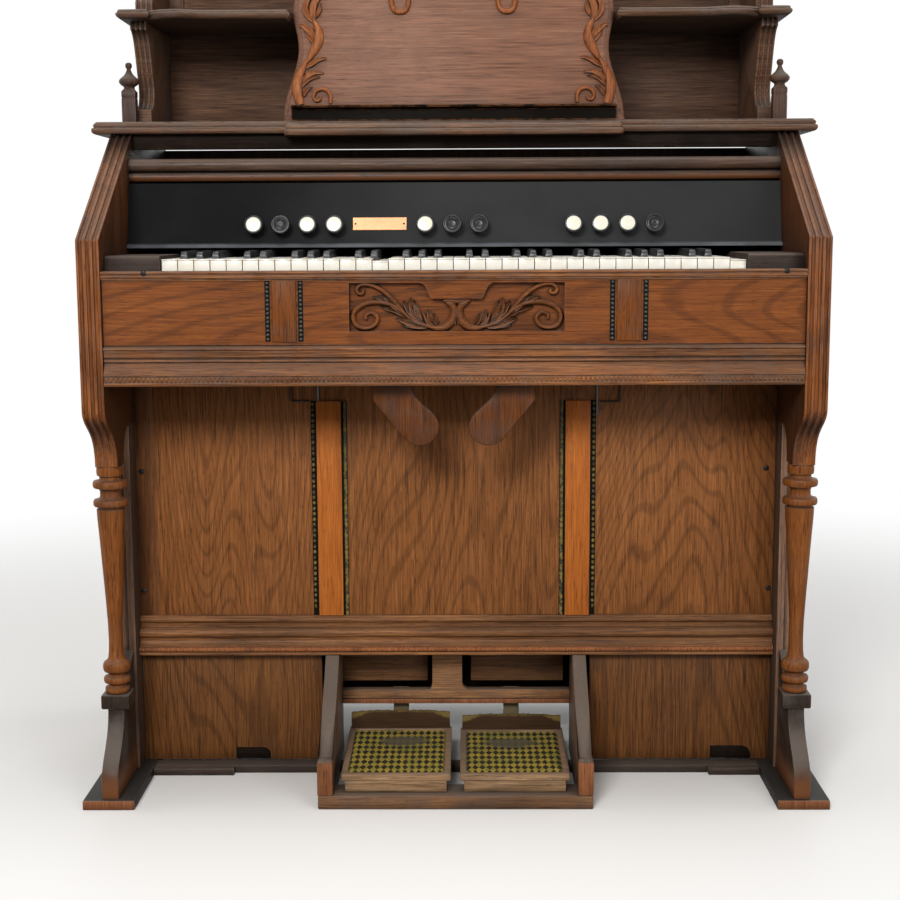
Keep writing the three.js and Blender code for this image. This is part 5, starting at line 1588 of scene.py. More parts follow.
crestSettings = {
    # half of the crest's upper edge: width and height in metres from its middle and its foot
    "edge": [(0.472, 0.026), (0.452, 0.044), (0.420, 0.047), (0.372, 0.045), (0.318, 0.046), (0.262, 0.052),
             (0.216, 0.070),
             (0.190, 0.100), (0.168, 0.130), (0.140, 0.158), (0.108, 0.176), (0.078, 0.187), (0.050, 0.200),
             (0.026, 0.208), (0, 0.210)],
    # each rosette: place across, height above the foot, radius and petals
    "rosettes": [(-0.118, 0.026, 0.024, 8), (0.118, 0.026, 0.024, 8), (0, 0.130, 0.0312, 12)],
    "rim": 0.009,
    "height": 4.5,
    "strokes": [
        ("stem", 9, [(10, 26), (34, 28), (62, 20), (86, 26), (100, 42), (96, 60), (82, 66), (72, 56),
                     (78, 47)], {"end": 0.5}),
        ("leaf", 9, [(150, 26), (176, 22), (206, 30), (236, 34), (266, 28), (300, 22), (338, 24)]),
        ("leaf", 11, [(190, 26), (202, 40), (206, 52)]),
        ("leaf", 8, [(232, 32), (246, 40), (256, 44)]),
        ("leaf", 8, [(268, 28), (286, 34), (304, 35)]),
        ("leaf", 12, [(64, 20), (54, 40), (52, 62), (60, 78)]),
        ("leaf", 11, [(96, 62), (112, 80), (134, 96), (150, 112)]),
        ("leaf", 10, [(104, 70), (110, 94), (106, 118)]),
        ("leaf", 12, [(18, 30), (22, 52), (16, 72), (6, 84)]),
        ("leaf", 9, [(34, 28), (38, 54), (36, 76)]),
        ("stem", 8, [(0, 172), (22, 168), (44, 160), (70, 156), (92, 150), (104, 138)], {"end": 0.4}),
        ("leaf", 9, [(48, 158), (56, 142), (70, 132), (84, 130)]),
        ("leaf", 9, [(38, 104), (62, 108), (78, 120), (76, 136)]),
    ],
}


def buildGallery():
    s = gallerySettings
    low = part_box("gallery")[0]
    bm = bmesh.new()
    outline, weights = galleryEndOutline(low.z, s["top"])
    inside = s["half"] - s["endWidth"]
    for side in (-1, 1):
        layeredInto(bm, outline, shelfFlutes(sorted((side * s["half"], side * inside))), acrossPlace,
                    weights)
    end = s["half"] + s["corniceOver"]
    layeredInto(bm, s["cornice"], [(-end, 0.001), (0.001 - end, 0), (end - 0.001, 0), (end, 0.001)],
                acrossPlace)
    slabInto(bm, (-inside - 0.002, inside + 0.002), s["back"], (low.z, s["top"] + 0.001), 0)
    piece("gallery_case", bm, "shelf", replaced=["gallery"])
    bm = bmesh.new()
    third, margin = inside / 3, s["panelMargin"]
    for left, right in ((-inside, -third), (-third, third), (third, inside)):
        raisedPanelInto(bm, (left + margin, right - margin), (low.z + margin, s["top"] - margin),
                        s["back"][0])
    piece("gallery_panels", bm, "upperBack")
    buildCrest(s["corniceTop"])


def buildCrest(foot):
    s = crestSettings
    front, back = gallerySettings["crestDepths"]
    right = smoothPath(s["edge"], 4)
    left = [Vector((-p.x, p.y)) for p in right[:-1]]
    outline = [Vector((-right[0].x, -0.0005))] + left + right[::-1] + [Vector((right[0].x, -0.0005))]
    weights = [0] + [1] * (len(outline) - 2) + [0]
    points = [(p.x, p.y + foot) for p in outline]
    rim = s["rim"]
    layers = [(back, 0), (front + 0.004, 0), (front + 0.0016, 0.0006), (front + 0.0003, 0.0022),
              (front, rim * 0.5), (front + 0.0008, rim - 0.002),
              (front + 0.0032, rim)]
    bm = bmesh.new()
    layeredInto(bm, points, layers, frontPlace, weights)
    piece("crest_board", bm, "upperBack")
    bm = bmesh.new()
    ground = front + 0.0032
    carveInto(bm, s["strokes"], lambda x, z, out: frontPlace(x, foot + z, ground - out), s["height"])
    for x, height, radius, petals in s["rosettes"]:
        rosetteInto(bm, frontPlace(x, foot + height, ground), radius, petals)
    piece("crest_carving", bm, "carved", sharp=60)


def rosetteInto(bm, centre, radius, petals):
    # A turned disc with a ring of carved petals round a button.
    profile = [(0, 0.0005), (radius * 0.16, 0.0005), (radius * 0.20, 0.0085), (radius * 0.14, 0.0098),
               (0, 0.0102)]
    turnedInto(bm, profile, centre, (0, -1, 0), (1, 0, 0), 20)
    rim = [(radius * 0.84, -0.001), (radius * 0.84, 0.0050), (radius * 0.87, 0.0072),
           (radius * 0.93, 0.0080), (radius * 0.985, 0.0068),
           (radius, 0.004), (radius, -0.001)]
    turnedInto(bm, rim + rim[:1], centre, (0, -1, 0), (1, 0, 0), 32)
    for i in range(petals):
        angle = 2 * math.pi * i / petals
        ahead = Vector((math.cos(angle), math.sin(angle)))
        path = [ahead * radius * share for share in (0.17, 0.3, 0.45, 0.6, 0.74, 0.86)]
        strokeInto(bm, path, radius * 4.2 / petals, 0.0062, lambda x, z,
                   out: Vector(centre) + Vector((x, -out, z)), sections["leaf"], 0.4, 0.25, 0.6)


# Music desk

deskSettings = {
    "foot": 0.252,
    "lean": 0.085,
    "thickness": 0.014,
    # half of the desk's edge: width and height in metres above the shelf
    "edge": [(0.2640, 0), (0.2614, 0.0258), (0.2537, 0.0531), (0.2437, 0.0831), (0.2394, 0.1069),
             (0.2413, 0.1301), (0.2471, 0.1600),
             (0.2455, 0.1819), (0.2376, 0.2061), (0.2244, 0.2286), (0.2006, 0.2463), (0.1637, 0.2544),
             (0.1267, 0.2753), (0.0792, 0.3091),
             (0.0370, 0.3220), (0, 0.3220)],
    "rim": [(-0.014, 0.0020), (-0.0125, 0.0004), (-0.0110, 0), (-0.0060, 0), (-0.0048, 0.0008),
            (-0.0008, 0.0046), (-0.0004, 0.0056),
            (-0.0014, 0.0064), (-0.0014, 0.0072), (-0.0002, 0.0080), (0, 0.0086)],
    "ledgeHalf": 0.250,
    "ledge": [(0.2320, 0.0185), (0.2304, 0.0195), (0.2300, 0.0220), (0.2315, 0.0230), (0.2545, 0.0230),
              (0.2545, 0.0002), (0.2400, 0.0002),
              (0.2412, 0.0170)],
    "height": 5.6,
    "bold": 1.35,
    "drop": 0.011,
    "strokes": [
        # stem that rises from the ledge, and the one that takes over from it
        ("stem", 12.5, [(237, 36), (241.5, 54), (241.5, 68), (237.5, 81), (229, 98), (222, 108)],
         {"start": 0.8, "end": 0.12, "swell": 0.3}),
        ("stem", 12.5, [(226, 100), (218.5, 113), (210.5, 128), (207.5, 141), (210, 153.5), (216, 166)],
         {"start": 0.2, "end": 0.25, "swell": 0.45}),
        # leaves on the outer side
        ("leaf", 9, [(211, 133), (220, 146), (229.5, 154.5), (237, 157)], {"end": 0.4}),
        ("leaf", 6.5, [(213, 128), (222, 139), (230, 147)]),
        ("leaf", 8, [(213, 160), (223.5, 170), (228, 183), (222, 197), (213, 206)], {"end": 0.2}),
        ("leaf", 9.5, [(214, 163), (216.5, 177), (214, 190), (206, 199), (196, 202)], {"end": 0.3}),
        ("leaf", 6, [(212, 168), (206, 180), (204, 190)]),
        # leaves on the inner side
        ("leaf", 7, [(229, 91), (217.5, 99), (208, 104.5), (196.5, 106.5)], {"end": 0.4}),
        ("leaf", 8, [(234, 72), (223.5, 81), (214, 85), (201, 84)], {"end": 0.3}),
        ("leaf", 6, [(235, 62), (227, 72), (217, 77), (206, 78)]),
        # volute beside the ledge
        ("leaf", 5, [(232, 48), (227, 58), (218, 63)]),
        ("stem", 5.2, [(190.5, 38), (190.5, 50), (197, 58), (206, 59.5), (214, 55), (216.5, 47),
                       (212, 41.5), (206, 44), (206.5, 49)], {"start": 0.8, "end": 0.5, "swell": 0.2}),
        # scrolls whose tails hang down beside the middle
        ("stem", 6.5, [(68, 205), (69.5, 186), (76, 176.5), (88, 176.5), (94.5, 186), (96, 206), (92, 226),
                       (80, 242), (62, 252), (42, 250), (30, 238), (34, 226), (44, 226), (46, 235)],
                       {"start": 0.8, "end": 0.5, "swell": 0.3}),
        ("stem", 6, [(96, 206), (104, 226), (120, 240), (140, 244), (160, 236), (168, 222), (160, 212),
                     (149, 216), (151, 226)], {"start": 0.4, "end": 0.5}),
        ("leaf", 8, [(100, 218), (116, 222), (130, 218)]),
        ("leaf", 9, [(92, 226), (98, 246), (94, 264), (80, 276)]),
        ("leaf", 9, [(62, 252), (56, 268), (42, 282), (24, 290)]),
        ("leaf", 10, [(10, 220), (12, 246), (8, 274), (0, 300)]),
        ("leaf", 8, [(184, 226), (172, 236), (158, 246), (140, 252)]),
    ],
}


def deskPlane(x, height, out):
    # A point on the leaning front of the desk, height metres above the shelf.
    s = deskSettings
    return frontPlace(x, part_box("music_desk")[0].z + height, s["foot"] + height * s["lean"] - out)


def buildDesk():
    s = deskSettings
    right = smoothPath(s["edge"], 3)
    left = [Vector((-p.x, p.y)) for p in right[:-1]]
    outline = right + left[::-1]
    weights = [1] * len(outline)
    weights[0] = weights[-1] = 0.001
    bm = bmesh.new()
    layeredInto(bm, outline, s["rim"], deskPlane, weights)
    piece("desk_board", bm, "desk", replaced=["music_desk"])
    bm = bmesh.new()
    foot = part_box("music_desk")[0].z
    ledge = [(depth, foot + height) for depth, height in s["ledge"]]
    half = s["ledgeHalf"]
    layeredInto(bm, ledge, [(-half, 0.0006), (-half + 0.0012, 0), (half - 0.0012, 0), (half, 0.0006)],
                acrossPlace)
    piece("desk_ledge", bm, "ledge")
    bm = bmesh.new()
    carveInto(bm, s["strokes"], lambda x, z, out: deskPlane(x, z - s["drop"], out), s["height"], s["bold"])
    piece("desk_carving", bm, "deskCarving", sharp=60)


materials["upperBack"] = oak("oakUpperBack", "X", (53, 38, 30), (91, 67, 54), (125, 92, 69), 16, rings=16,
                             dustAndSheen=0.15, lines=0.4, shine=0.05)
materials["post"] = oak("oakPost", "Z", (44, 28, 23), (72, 52, 42), (107, 72, 51), 17, rings=5, wear=0.6,
                        dustAndSheen=0.7)
# the ledge's near-black colour is partly painted shade in the hollow under its lip, and its heavy light
# edge wear partly a painted highlight along the lit lip
materials["ledge"] = oak("oakLedge", "X", (6, 3, 1), (10, 6, 2), (19, 11, 5), 18, rings=5, wear=0.9,
                         dustAndSheen=0.05, worn=(176, 112, 66), shine=0.03)
# the frieze's near-black colour is partly painted shade under the shelf's overhang
materials["frieze"] = oak("oakFrieze", "X", (16, 11, 8), (28, 20, 15), (44, 31, 23), 24, rings=5, wear=0.2,
                          dustAndSheen=0.1, shine=0.03)
materials["deskCarving"] = oak("oakDeskCarving", "Z", (89, 49, 25), (141, 81, 43), (168, 109, 67), 19,
                               rings=4, wear=0.5, grimeAndShade=0.85, dustAndSheen=0.05, open=0.007)
buildMainShelf()
bothSides(buildUpperEnd)
bothSides(buildFinial)
buildUpperShelf()
buildUpperBack()
buildGallery()
buildDesk()
print("upper part made")


# Lower front: panel, stiles, bead strips, rail, kick panels and toe board

lowerSettings = {
    "face": 0.190,
    "thickness": 0.018,
    "stile": {"centres": (-0.1952, 0.1905), "half": 0.01925, "proud": 0.006, "top": 0.591},
    "strip": {"width": 0.0088, "proud": 0.0012},
    "bead": (0.0027, 0.0030, 0.0034),
    "beadPitch": 0.0087,
    "beadFoot": 0.262,
    "joint": -0.4685,
    "ropeRadius": 0.0031,
    "ropePitch": 0.0088,
    "screws": [(-0.4887, 0.4810), (-0.4912, 0.2900), (0.4830, 0.4837), (0.4909, 0.2930)],
    "screwRadius": 0.0046,
}


def buildLowerPanel():
    s = lowerSettings
    low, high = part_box("lower_front_panel")
    bm = bmesh.new()
    depths = (s["face"], s["face"] + s["thickness"])
    slabInto(bm, (s["joint"], high.x), depths, (low.z, high.z), 0.0003)
    piece("lower_panel", bm, "panel", replaced=["lower_front_panel"])
    bm = bmesh.new()
    slabInto(bm, (low.x, s["joint"]), depths, (low.z, high.z), 0.0003)
    piece("lower_panel_strip", bm, "panelStrip")
    stiles, strips, beads, ropes = (bmesh.new() for _ in range(4))
    stile, strip = s["stile"], s["strip"]
    for side in (-1, 1):
        at = stile["centres"][side > 0]
        slabInto(stiles, (at - stile["half"], at + stile["half"]),
                 (s["face"] - stile["proud"], s["face"] + 0.002), (low.z, stile["top"]), 0.0012)
        for edge in (-1, 1):
            inner = at + edge * stile["half"]
            slabInto(strips, (inner, inner + edge * strip["width"]),
                     (s["face"] - strip["proud"], s["face"] + 0.001), (low.z, stile["top"]), 0.0005)
            x = inner + edge * strip["width"] * 0.62
            depth = s["face"] - strip["proud"]
            if edge == -side:
                ropeInto(ropes, frontPlace(x, low.z, depth + 0.0006),
                         frontPlace(x, stile["top"], depth + 0.0006), s["ropeRadius"], s["ropePitch"])
            else:
                beadsInto(beads, frontPlace(x, s["beadFoot"], depth), frontPlace(x, stile["top"], depth),
                          s["bead"], s["beadPitch"])
    piece("panel_stiles", stiles, "stile")
    piece("bead_grounds", strips, "ground")
    piece("bead_strips", beads, "bead", sharp=80)
    piece("rope_strips", ropes, "bead", sharp=80)
    bm = bmesh.new()
    for x, height in s["screws"]:
        screwInto(bm, frontPlace(x, height, s["face"]), (0, -1, 0), s["screwRadius"])
    piece("panel_screws", bm, "iron")


railSettings = {
    # depth and height of the rail's face, from the top down
    "profile": [(0.208, 0.2512), (0.1885, 0.2512), (0.1870, 0.2502), (0.1866, 0.2480), (0.1850, 0.2472),
                (0.1840, 0.2456), (0.1838, 0.2436),
                (0.1844, 0.2416), (0.1862, 0.2402), (0.1880, 0.2394), (0.1888, 0.2360), (0.1880, 0.2328),
                (0.1840, 0.2324), (0.1796, 0.2311),
                (0.1766, 0.2288), (0.1752, 0.2262), (0.1750, 0.2236), (0.1758, 0.2208), (0.1776, 0.2187),
                (0.1802, 0.2178), (0.1812, 0.2150),
                (0.1806, 0.2114), (0.1788, 0.2084), (0.1762, 0.2064), (0.1736, 0.2054), (0.1722, 0.2046),
                (0.1722, 0.1962), (0.1708, 0.1954),
                (0.1702, 0.1938), (0.1702, 0.1922), (0.1710, 0.1910), (0.208, 0.1910)],
    "rope": {"depth": 0.1716, "height": 0.2004, "radius": 0.0044, "pitch": 0.0050},
}


def buildRail():
    s = railSettings
    low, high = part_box("lower_rail")
    bm = bmesh.new()
    mouldingInto(bm, s["profile"], (low.x, high.x))
    piece("moulded_lower_rail", bm, "rail", replaced=["lower_rail"])
    rope = s["rope"]
    bm = bmesh.new()
    ends = [frontPlace(x, rope["height"], rope["depth"]) for x in (low.x + 0.0005, high.x - 0.0005)]
    ropeInto(bm, *ends, rope["radius"], rope["pitch"], sides=12)
    piece("rail_rope", bm, "orange", sharp=80)


kickSettings = {
    "layer": 0.006,
    "gap": 0.0005,
    # upright joint, end and top of the notch to its right, and the round of its corner
    "left": (-0.351, -0.2965, 0.034, 0.012),
    "right": (0.4055, 0.4700, 0.036, 0.016),
}


def buildKick(side, hand):
    # Two upright boards before a plain one, the right-hand of them with a notch at its foot.
    s = kickSettings
    low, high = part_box("kick_panel_" + hand)
    front, rear = low.y - caseFront, high.y - caseFront
    joint, end, top, turn = s[hand]
    bm = bmesh.new()
    slabInto(bm, (low.x, high.x), (front + s["layer"], rear), (low.z, high.z), 0.0006)
    slabInto(bm, (low.x, joint - s["gap"]), (front, front + s["layer"] + 0.0002), (low.z, high.z), 0.0006)
    outline = [(joint, high.z), (joint, top)] + arc((end - turn, top - turn), turn, 90, 0,
                                                    6) + [(end, low.z), (high.x, low.z), (high.x, high.z)]
    plateInto(bm, outline, (front, front + s["layer"] + 0.0002), frontPlace, 0.0006)
    piece("kick_board_" + hand, bm, "kick", replaced=["kick_panel_" + hand])
    # The notch is filled with a near-black sheet as painted shade.
    bm = bmesh.new()
    notch = [(joint, low.z), (joint, top)] + arc((end - turn, top - turn), turn, 90, 0, 6) + [(end, low.z)]
    plateInto(bm, notch, (front + s["layer"] * 0.6, front + s["layer"] + 0.0006), frontPlace, 0.0002)
    piece("kick_notch_" + hand, bm, "dark")


toeSettings = {"front": 0.166, "step": 0.154, "stepTop": 0.012, "left": -0.351, "right": 0.398}


def buildToe():
    s = toeSettings
    low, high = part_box("toe_board")
    bm = bmesh.new()
    boards = (((low.x, high.x), s["front"], high.y - caseFront, high.z),
              ((low.x, s["left"]), s["step"], s["front"], s["stepTop"]),
              ((s["right"], high.x), s["step"], s["front"], s["stepTop"]))
    for ends, front, rear, top in boards:
        outline = [(front, 0.0004), (front, top - 0.004), (front + 0.0012, top - 0.0012),
                   (front + 0.004, top), (rear, top), (rear, 0.0004)]
        mouldingInto(bm, outline, ends)
    piece("toe_moulding", bm, "toe", replaced=["toe_board"])


wireSettings = {
    "radius": 0.0013,
    "depth": 0.1868,
    "top": 0.6664,
    "panel": 0.1902,
    # each wire: its place across, the height of its foot, and where its hook ends
    "hooks": [(-0.2520, 0.5913, -0.2249), (0.2547, 0.5890, 0.2255)],
    "stays": [(-0.2110, 0.5710), (0.2198, 0.5680)],
}


def buildWires():
    s = wireSettings
    depth, top = s["depth"], s["top"]
    bm = bmesh.new()
    for x, foot, end in s["hooks"]:
        turn = 0.0022 if end > x else -0.0022
        points = [(x, top, depth), (x, foot + 0.0022, depth), (x + turn * 0.3, foot + 0.0006, depth),
                  (x + turn, foot, depth),
                  (end - turn, foot, depth), (end, foot, depth + 0.001), (end, foot, s["panel"])]
        tubeInto(bm, [frontPlace(*point) for point in points], s["radius"])
    piece("wire_hooks", bm, "iron")
    bm = bmesh.new()
    for x, foot in s["stays"]:
        points = [(x, top, depth), (x, foot + 0.0016, depth), (x, foot, depth + 0.0012),
                  (x, foot - 0.0004, s["panel"])]
        tubeInto(bm, [frontPlace(*point) for point in points], s["radius"] * 1.2)
    piece("wire_stays", bm, "greyIron")


materials["panelStrip"] = oak("oakPanelStrip", "Z", (54, 32, 19), (102, 62, 33), (132, 82, 44), 25,
                              rings=10, dustAndSheen=0.05)
materials["rail"] = oak("oakRail", "X", (73, 46, 26), (131, 86, 52), (171, 119, 71), 20, rings=7, wear=0.5,
                        dustAndSheen=0.1, open=0.01, worn=(190, 124, 78))
buildLowerPanel()
buildRail()
bothSides(buildKick)
buildToe()
buildWires()
print("lower front made")


# Knee levers

leverSettings = {
    "depths": (0.036, 0.048),
    "radius": 0.029,
    "offset": 0.050,
    "centre": 0.571,
    "top": 0.650,
    "neck": (0.0635, 0.118),
    "ease": 0.0028,
    "pivot": (0.090, 0.640),
    "pivotRadius": 0.0046,
}


def buildLever(side, hand):
    s = leverSettings
    radius, offset, centre = s["radius"], s["offset"], s["centre"]
    edge = bezier((s["neck"][0], s["top"]), (s["neck"][0], s["top"] - radius * 1.9),
                  (offset - radius * 0.83, centre + radius * 1.05),
                  (offset - radius, centre), 14)
    edge += arc((offset, centre), radius, 180, 324, 22)[1:]
    edge += [(s["neck"][1], s["top"] - radius * 1.4), (s["neck"][1], s["top"])]
    bm = bmesh.new()
    plateInto(bm, [(side * x, z) for x, z in edge], s["depths"], frontPlace, s["ease"])
    piece("knee_paddle_" + hand, bm, "lever", "knee_lever_" + hand, ["knee_lever_" + hand])
    bm = bmesh.new()
    x, height = s["pivot"]
    screwInto(bm, frontPlace(side * x, height, s["depths"][0]), (0, -1, 0), s["pivotRadius"])
    piece("knee_pivot_" + hand, bm, "iron", "knee_lever_" + hand)


materials["lever"] = oak("oakLever", "Z", (53, 28, 10), (96, 51, 18), (126, 70, 24), 21, rings=9, dustAndSheen=0.3)
bothSides(buildLever)


# Pedals and their frame

pedalFrameSettings = {
    "half": 0.2045,
    "sill": ((0.010, 0.062), (0, 0.021)),
    "cheek": 0.0215,
    "cheekTop": 0.1907,
    "toe": 0.072,
    "front": 0.010,
    "block": 0.0265,
    "knee": 0.1697,
    "foot": 0.1657,
    "rear": 0.238,
    "toeHeight": 0.0133,
    "rail": (0.222, 0.238),
    "upperStrip": (0.1046, 0.119),
    "lowerStrip": (0.096, 0.1036),
    "spine": (-0.038, 0.010, 0.300),
    "shoulders": (0.006, 0.012, 0.014),
}


def buildPedalFrame():
    s = pedalFrameSettings
    bm = bmesh.new()
    slabInto(bm, (-s["half"], s["half"]), s["sill"][0], s["sill"][1], 0.0022)
    piece("pedal_sill", bm, "frame", replaced=["pedal_frame"])
    front, knee, top, toe = s["front"], s["knee"], s["cheekTop"], s["toe"]
    sillRear, sillTop = s["sill"][0][1] + 0.0002, s["sill"][1][1] + 0.0002
    curve = bezier((knee, top), (knee - 0.026, top - 0.036), (front + 0.078, toe * 1.8),
                   (front + 0.026, toe), 20)
    outline = [(front + s["block"] + 0.0003, sillTop), (sillRear, sillTop), (sillRear, 0.0003),
               (s["foot"], 0.0003), (s["foot"], s["toeHeight"]),
               (s["rear"], s["toeHeight"]), (s["rear"], top)] + curve + [(front + 0.003, toe + 0.0006),
                                                                         (front + 0.0004, toe + 0.0001)]
    outline += [(front + s["block"] + 0.0003, toe)]
    cheeks, blocks = bmesh.new(), bmesh.new()
    for side in (-1, 1):
        ends = (side * s["half"], side * (s["half"] - s["cheek"]))
        plateInto(cheeks, outline, ends, acrossPlace, 0.0018)
        slabInto(blocks, (ends[0] + side * 0.0006, ends[1] - side * 0.0006), (front, front + s["block"]),
                 (sillTop, toe), 0.0016)
    piece("pedal_cheeks", cheeks, "pedalCheek")
    piece("pedal_cheek_blocks", blocks, "pedalBlock")
    inside = s["half"] - s["cheek"] - 0.0001
    bm = bmesh.new()
    slabInto(bm, (-inside, inside), s["rail"], s["upperStrip"], 0.0010)
    left, right, tall = s["spine"]
    leftShoulder, rightShoulder, rise = s["shoulders"]
    low = s["upperStrip"][1] - 0.0006
    flareRight = bezier((right + rightShoulder, low), (right + rightShoulder * 0.3, low + 0.002),
                        (right, low + rise * 0.4), (right, low + rise), 7)
    flareLeft = bezier((left, low + rise), (left, low + rise * 0.4),
                       (left - leftShoulder * 0.3, low + 0.002), (left - leftShoulder, low), 7)
    outline = flareRight + [(right, tall), (left, tall)] + flareLeft
    plateInto(bm, outline, (s["rail"][0] + 0.0003, s["rail"][1] - 0.0003), frontPlace, 0.0010)
    piece("pedal_rail_and_spine", bm, "frame")
    bm = bmesh.new()
    slabInto(bm, (-inside, inside), (s["rail"][0] - 0.0004, s["rail"][1]), s["lowerStrip"], 0.0010)
    slabInto(bm, (-inside, inside), (s["rail"][0] + 0.004, s["rail"][1] - 0.001),
             (s["lowerStrip"][1] - 0.001, s["upperStrip"][0] + 0.001), 0)
    piece("pedal_rail_strip", bm, "pedalBlock")


pedalSettings = {
    "xs": (0.007, 0.171),
    "depths": (0.024, 0.226),
    "top": 0.050,
    "board": 0.011,
    "border": 0.010,
    "recess": 0.0035,
    "corner": 0.009,
    "tilt": {"left": 2.5, "right": 1.7},
    "apron": {"inset": 0.006, "setback": 0.0012, "deep": 0.026, "foot": 0.0217},
    "flap": {"depths": (0.213, 0.223), "top": 0.0765, "inset": 0.003},
    "tab": {"half": 0.017, "thickness": 0.006, "reach": 0.020},
    "carpet": 0.0026,
    "feltTop": {"left": 0.0872, "right": 0.0804},
}

carpetSettings = {
    "lozenge": (0.0106, 0.0200),
    # the rubbed oval of each carpet: place across, depth and half sizes
    "worn": {"left": (-0.082, 0.161, 0.040, 0.021), "right": (0.086, 0.156, 0.043, 0.022)},
}


def tiltPedal(bm, hand):
    # The worn pedals rest a little raised at their rear.
    hinge = Matrix.Translation(planPlace(0, pedalSettings["depths"][0], pedalSettings["apron"]["foot"]))
    turned = hinge @ Matrix.Rotation(math.radians(pedalSettings["tilt"][hand]), 4, "X") @ hinge.inverted()
    bmesh.ops.transform(bm, matrix=turned, verts=bm.verts)


def trayRing(side, edges, inset, turn, height):
    # A rectangle in plan with round corners.
    left, right, front, rear = edges[0] + inset, edges[1] - inset, edges[2] + inset, edges[3] - inset
    corners = ((left + turn, front + turn, 180), (right - turn, front + turn, 270),
               (right - turn, rear - turn, 0), (left + turn, rear - turn, 90))
    return [planPlace(side * x, depth, height) for cx, cy, start in corners for x,
            depth in arc((cx, cy), turn, start, start + 90, 5)]


def buildPedal(side, hand):
    s = pedalSettings
    inner, outer = s["xs"]
    front, rear = s["depths"]
    top, under = s["top"], s["top"] - s["board"]
    border = s["border"]
    body = "pedal_" + hand
    bm = bmesh.new()
    flapFront = s["flap"]["depths"][0]
    hollow = (inner + border, outer - border, front + border, flapFront - border * 0.4)
    stations = [trayRing(side, (inner, outer, front, rear), inset, turn, height) for height, inset,
                turn in (
        (under, 0.0014, 0.003), (under + 0.0014, 0, 0.003), (top - 0.0022, 0, 0.003),
        (top - 0.0007, 0.0007, 0.003), (top, 0.0024, 0.003))]
    stations += [trayRing(side, hollow, inset, s["corner"], height) for height, inset in (
        (top, -0.0022), (top - 0.0007, -0.0007), (top - 0.0022, 0), (top - s["recess"], 0.0004))]
    sweptInto(bm, stations)
    apron = s["apron"]
    slabInto(bm, (side * (inner + apron["inset"]), side * (outer - apron["inset"])),
             (front + apron["setback"], front + apron["setback"] + apron["deep"]),
             (apron["foot"], under + 0.002), 0.0014)
    tiltPedal(bm, hand)
    middle, tab = (inner + outer) / 2, s["tab"]
    ends = (side * (middle - tab["half"]), side * (middle + tab["half"]))
    slabInto(bm, ends, (flapFront, rear + tab["reach"]), (under, under + tab["thickness"]), 0.001)
    slabInto(bm, ends, (flapFront - 0.010, rear - 0.004), (under + 0.0005, under + 0.0115), 0.001)
    piece("pedal_tray_" + hand, bm, "pedal", body, [body])
    buildCarpet(side, hand, body)
    buildFlap(side, hand, body)


def buildCarpet(side, hand, body):
    # The carpet is worn thin in an oval under the ball of the foot.
    s = pedalSettings
    inner, outer, front = s["xs"][0] + s["border"], s["xs"][1] - s["border"], s["depths"][0] + s["border"]
    rear = s["flap"]["depths"][0] - s["border"] * 0.4
    ground = s["top"] - s["recess"]
    bm = bmesh.new()
    bmesh.ops.create_grid(bm, x_segments=44, y_segments=52, size=0.5)
    wide, deep = outer - inner, rear - front
    for vert in bm.verts:
        across, along = vert.co.x + 0.5, vert.co.y + 0.5
        x, depth = inner + wide * across, front + deep * along
        edge = min(across * wide, (1 - across) * wide, along * deep, (1 - along) * deep)
        worn = math.exp(-(((across - 0.5) / 0.30) ** 2 + ((along - 0.72) / 0.20) ** 2))
        lift = s["carpet"] * (1 - 0.55 * worn) * min(1, edge / 0.004) ** 0.5 + random.uniform(-0.00022,
                                                                                              0.00022)
        vert.co = planPlace(side * x, depth, ground + 0.0002 + max(lift, 0))
    bmesh.ops.reverse_faces(bm, faces=bm.faces if side < 0 else [])
    solid = bmesh.ops.extrude_face_region(bm, geom=bm.faces[:])["geom"]
    for part in solid:
        if isinstance(part, bmesh.types.BMVert):
            part.co.z = ground + 0.0001
    tiltPedal(bm, hand)
    made = piece("pedal_carpet_" + hand, bm, "carpet_" + hand, body, sharp=70)
    "pedal_tray_" + hand


def buildFlap(side, hand, body):
    # The block of felt at the pedal's rear: a ragged, humped top under a strip of carpet.
    s = pedalSettings
    flap = s["flap"]
    inner, outer = s["xs"][0] + flap["inset"], s["xs"][1] - flap["inset"]
    front, rear = flap["depths"]
    foot = s["top"] - s["board"] + 0.001
    stations = []
    count = 40
    for i in range(count + 1):
        share = i / count
        x = side * (inner + (outer - inner) * share)
        hump = 1 - abs(2 * share - 1) ** 3
        top = flap["top"] - 0.0020 * side - 0.003 + 0.003 * hump + random.uniform(-0.0008, 0.0008)
        bulge = random.uniform(-0.0006, 0.0004)
        ring = [(front + 0.0002, foot), (front + bulge * 0.5, (foot + top) / 2),
                (front + 0.0004 + bulge, top - 0.003), (front + 0.0018, top - 0.0006),
                (front + 0.0045, top), (rear - 0.0020, top - 0.0006), (rear - 0.0004, top - 0.003),
                (rear, foot)]
        stations.append([planPlace(x, depth, height) for depth, height in ring])
    bm = bmesh.new()
    sweptInto(bm, stations)
    tiltPedal(bm, hand)
    piece("pedal_flap_" + hand, bm, "felt_" + hand, body, sharp=60)


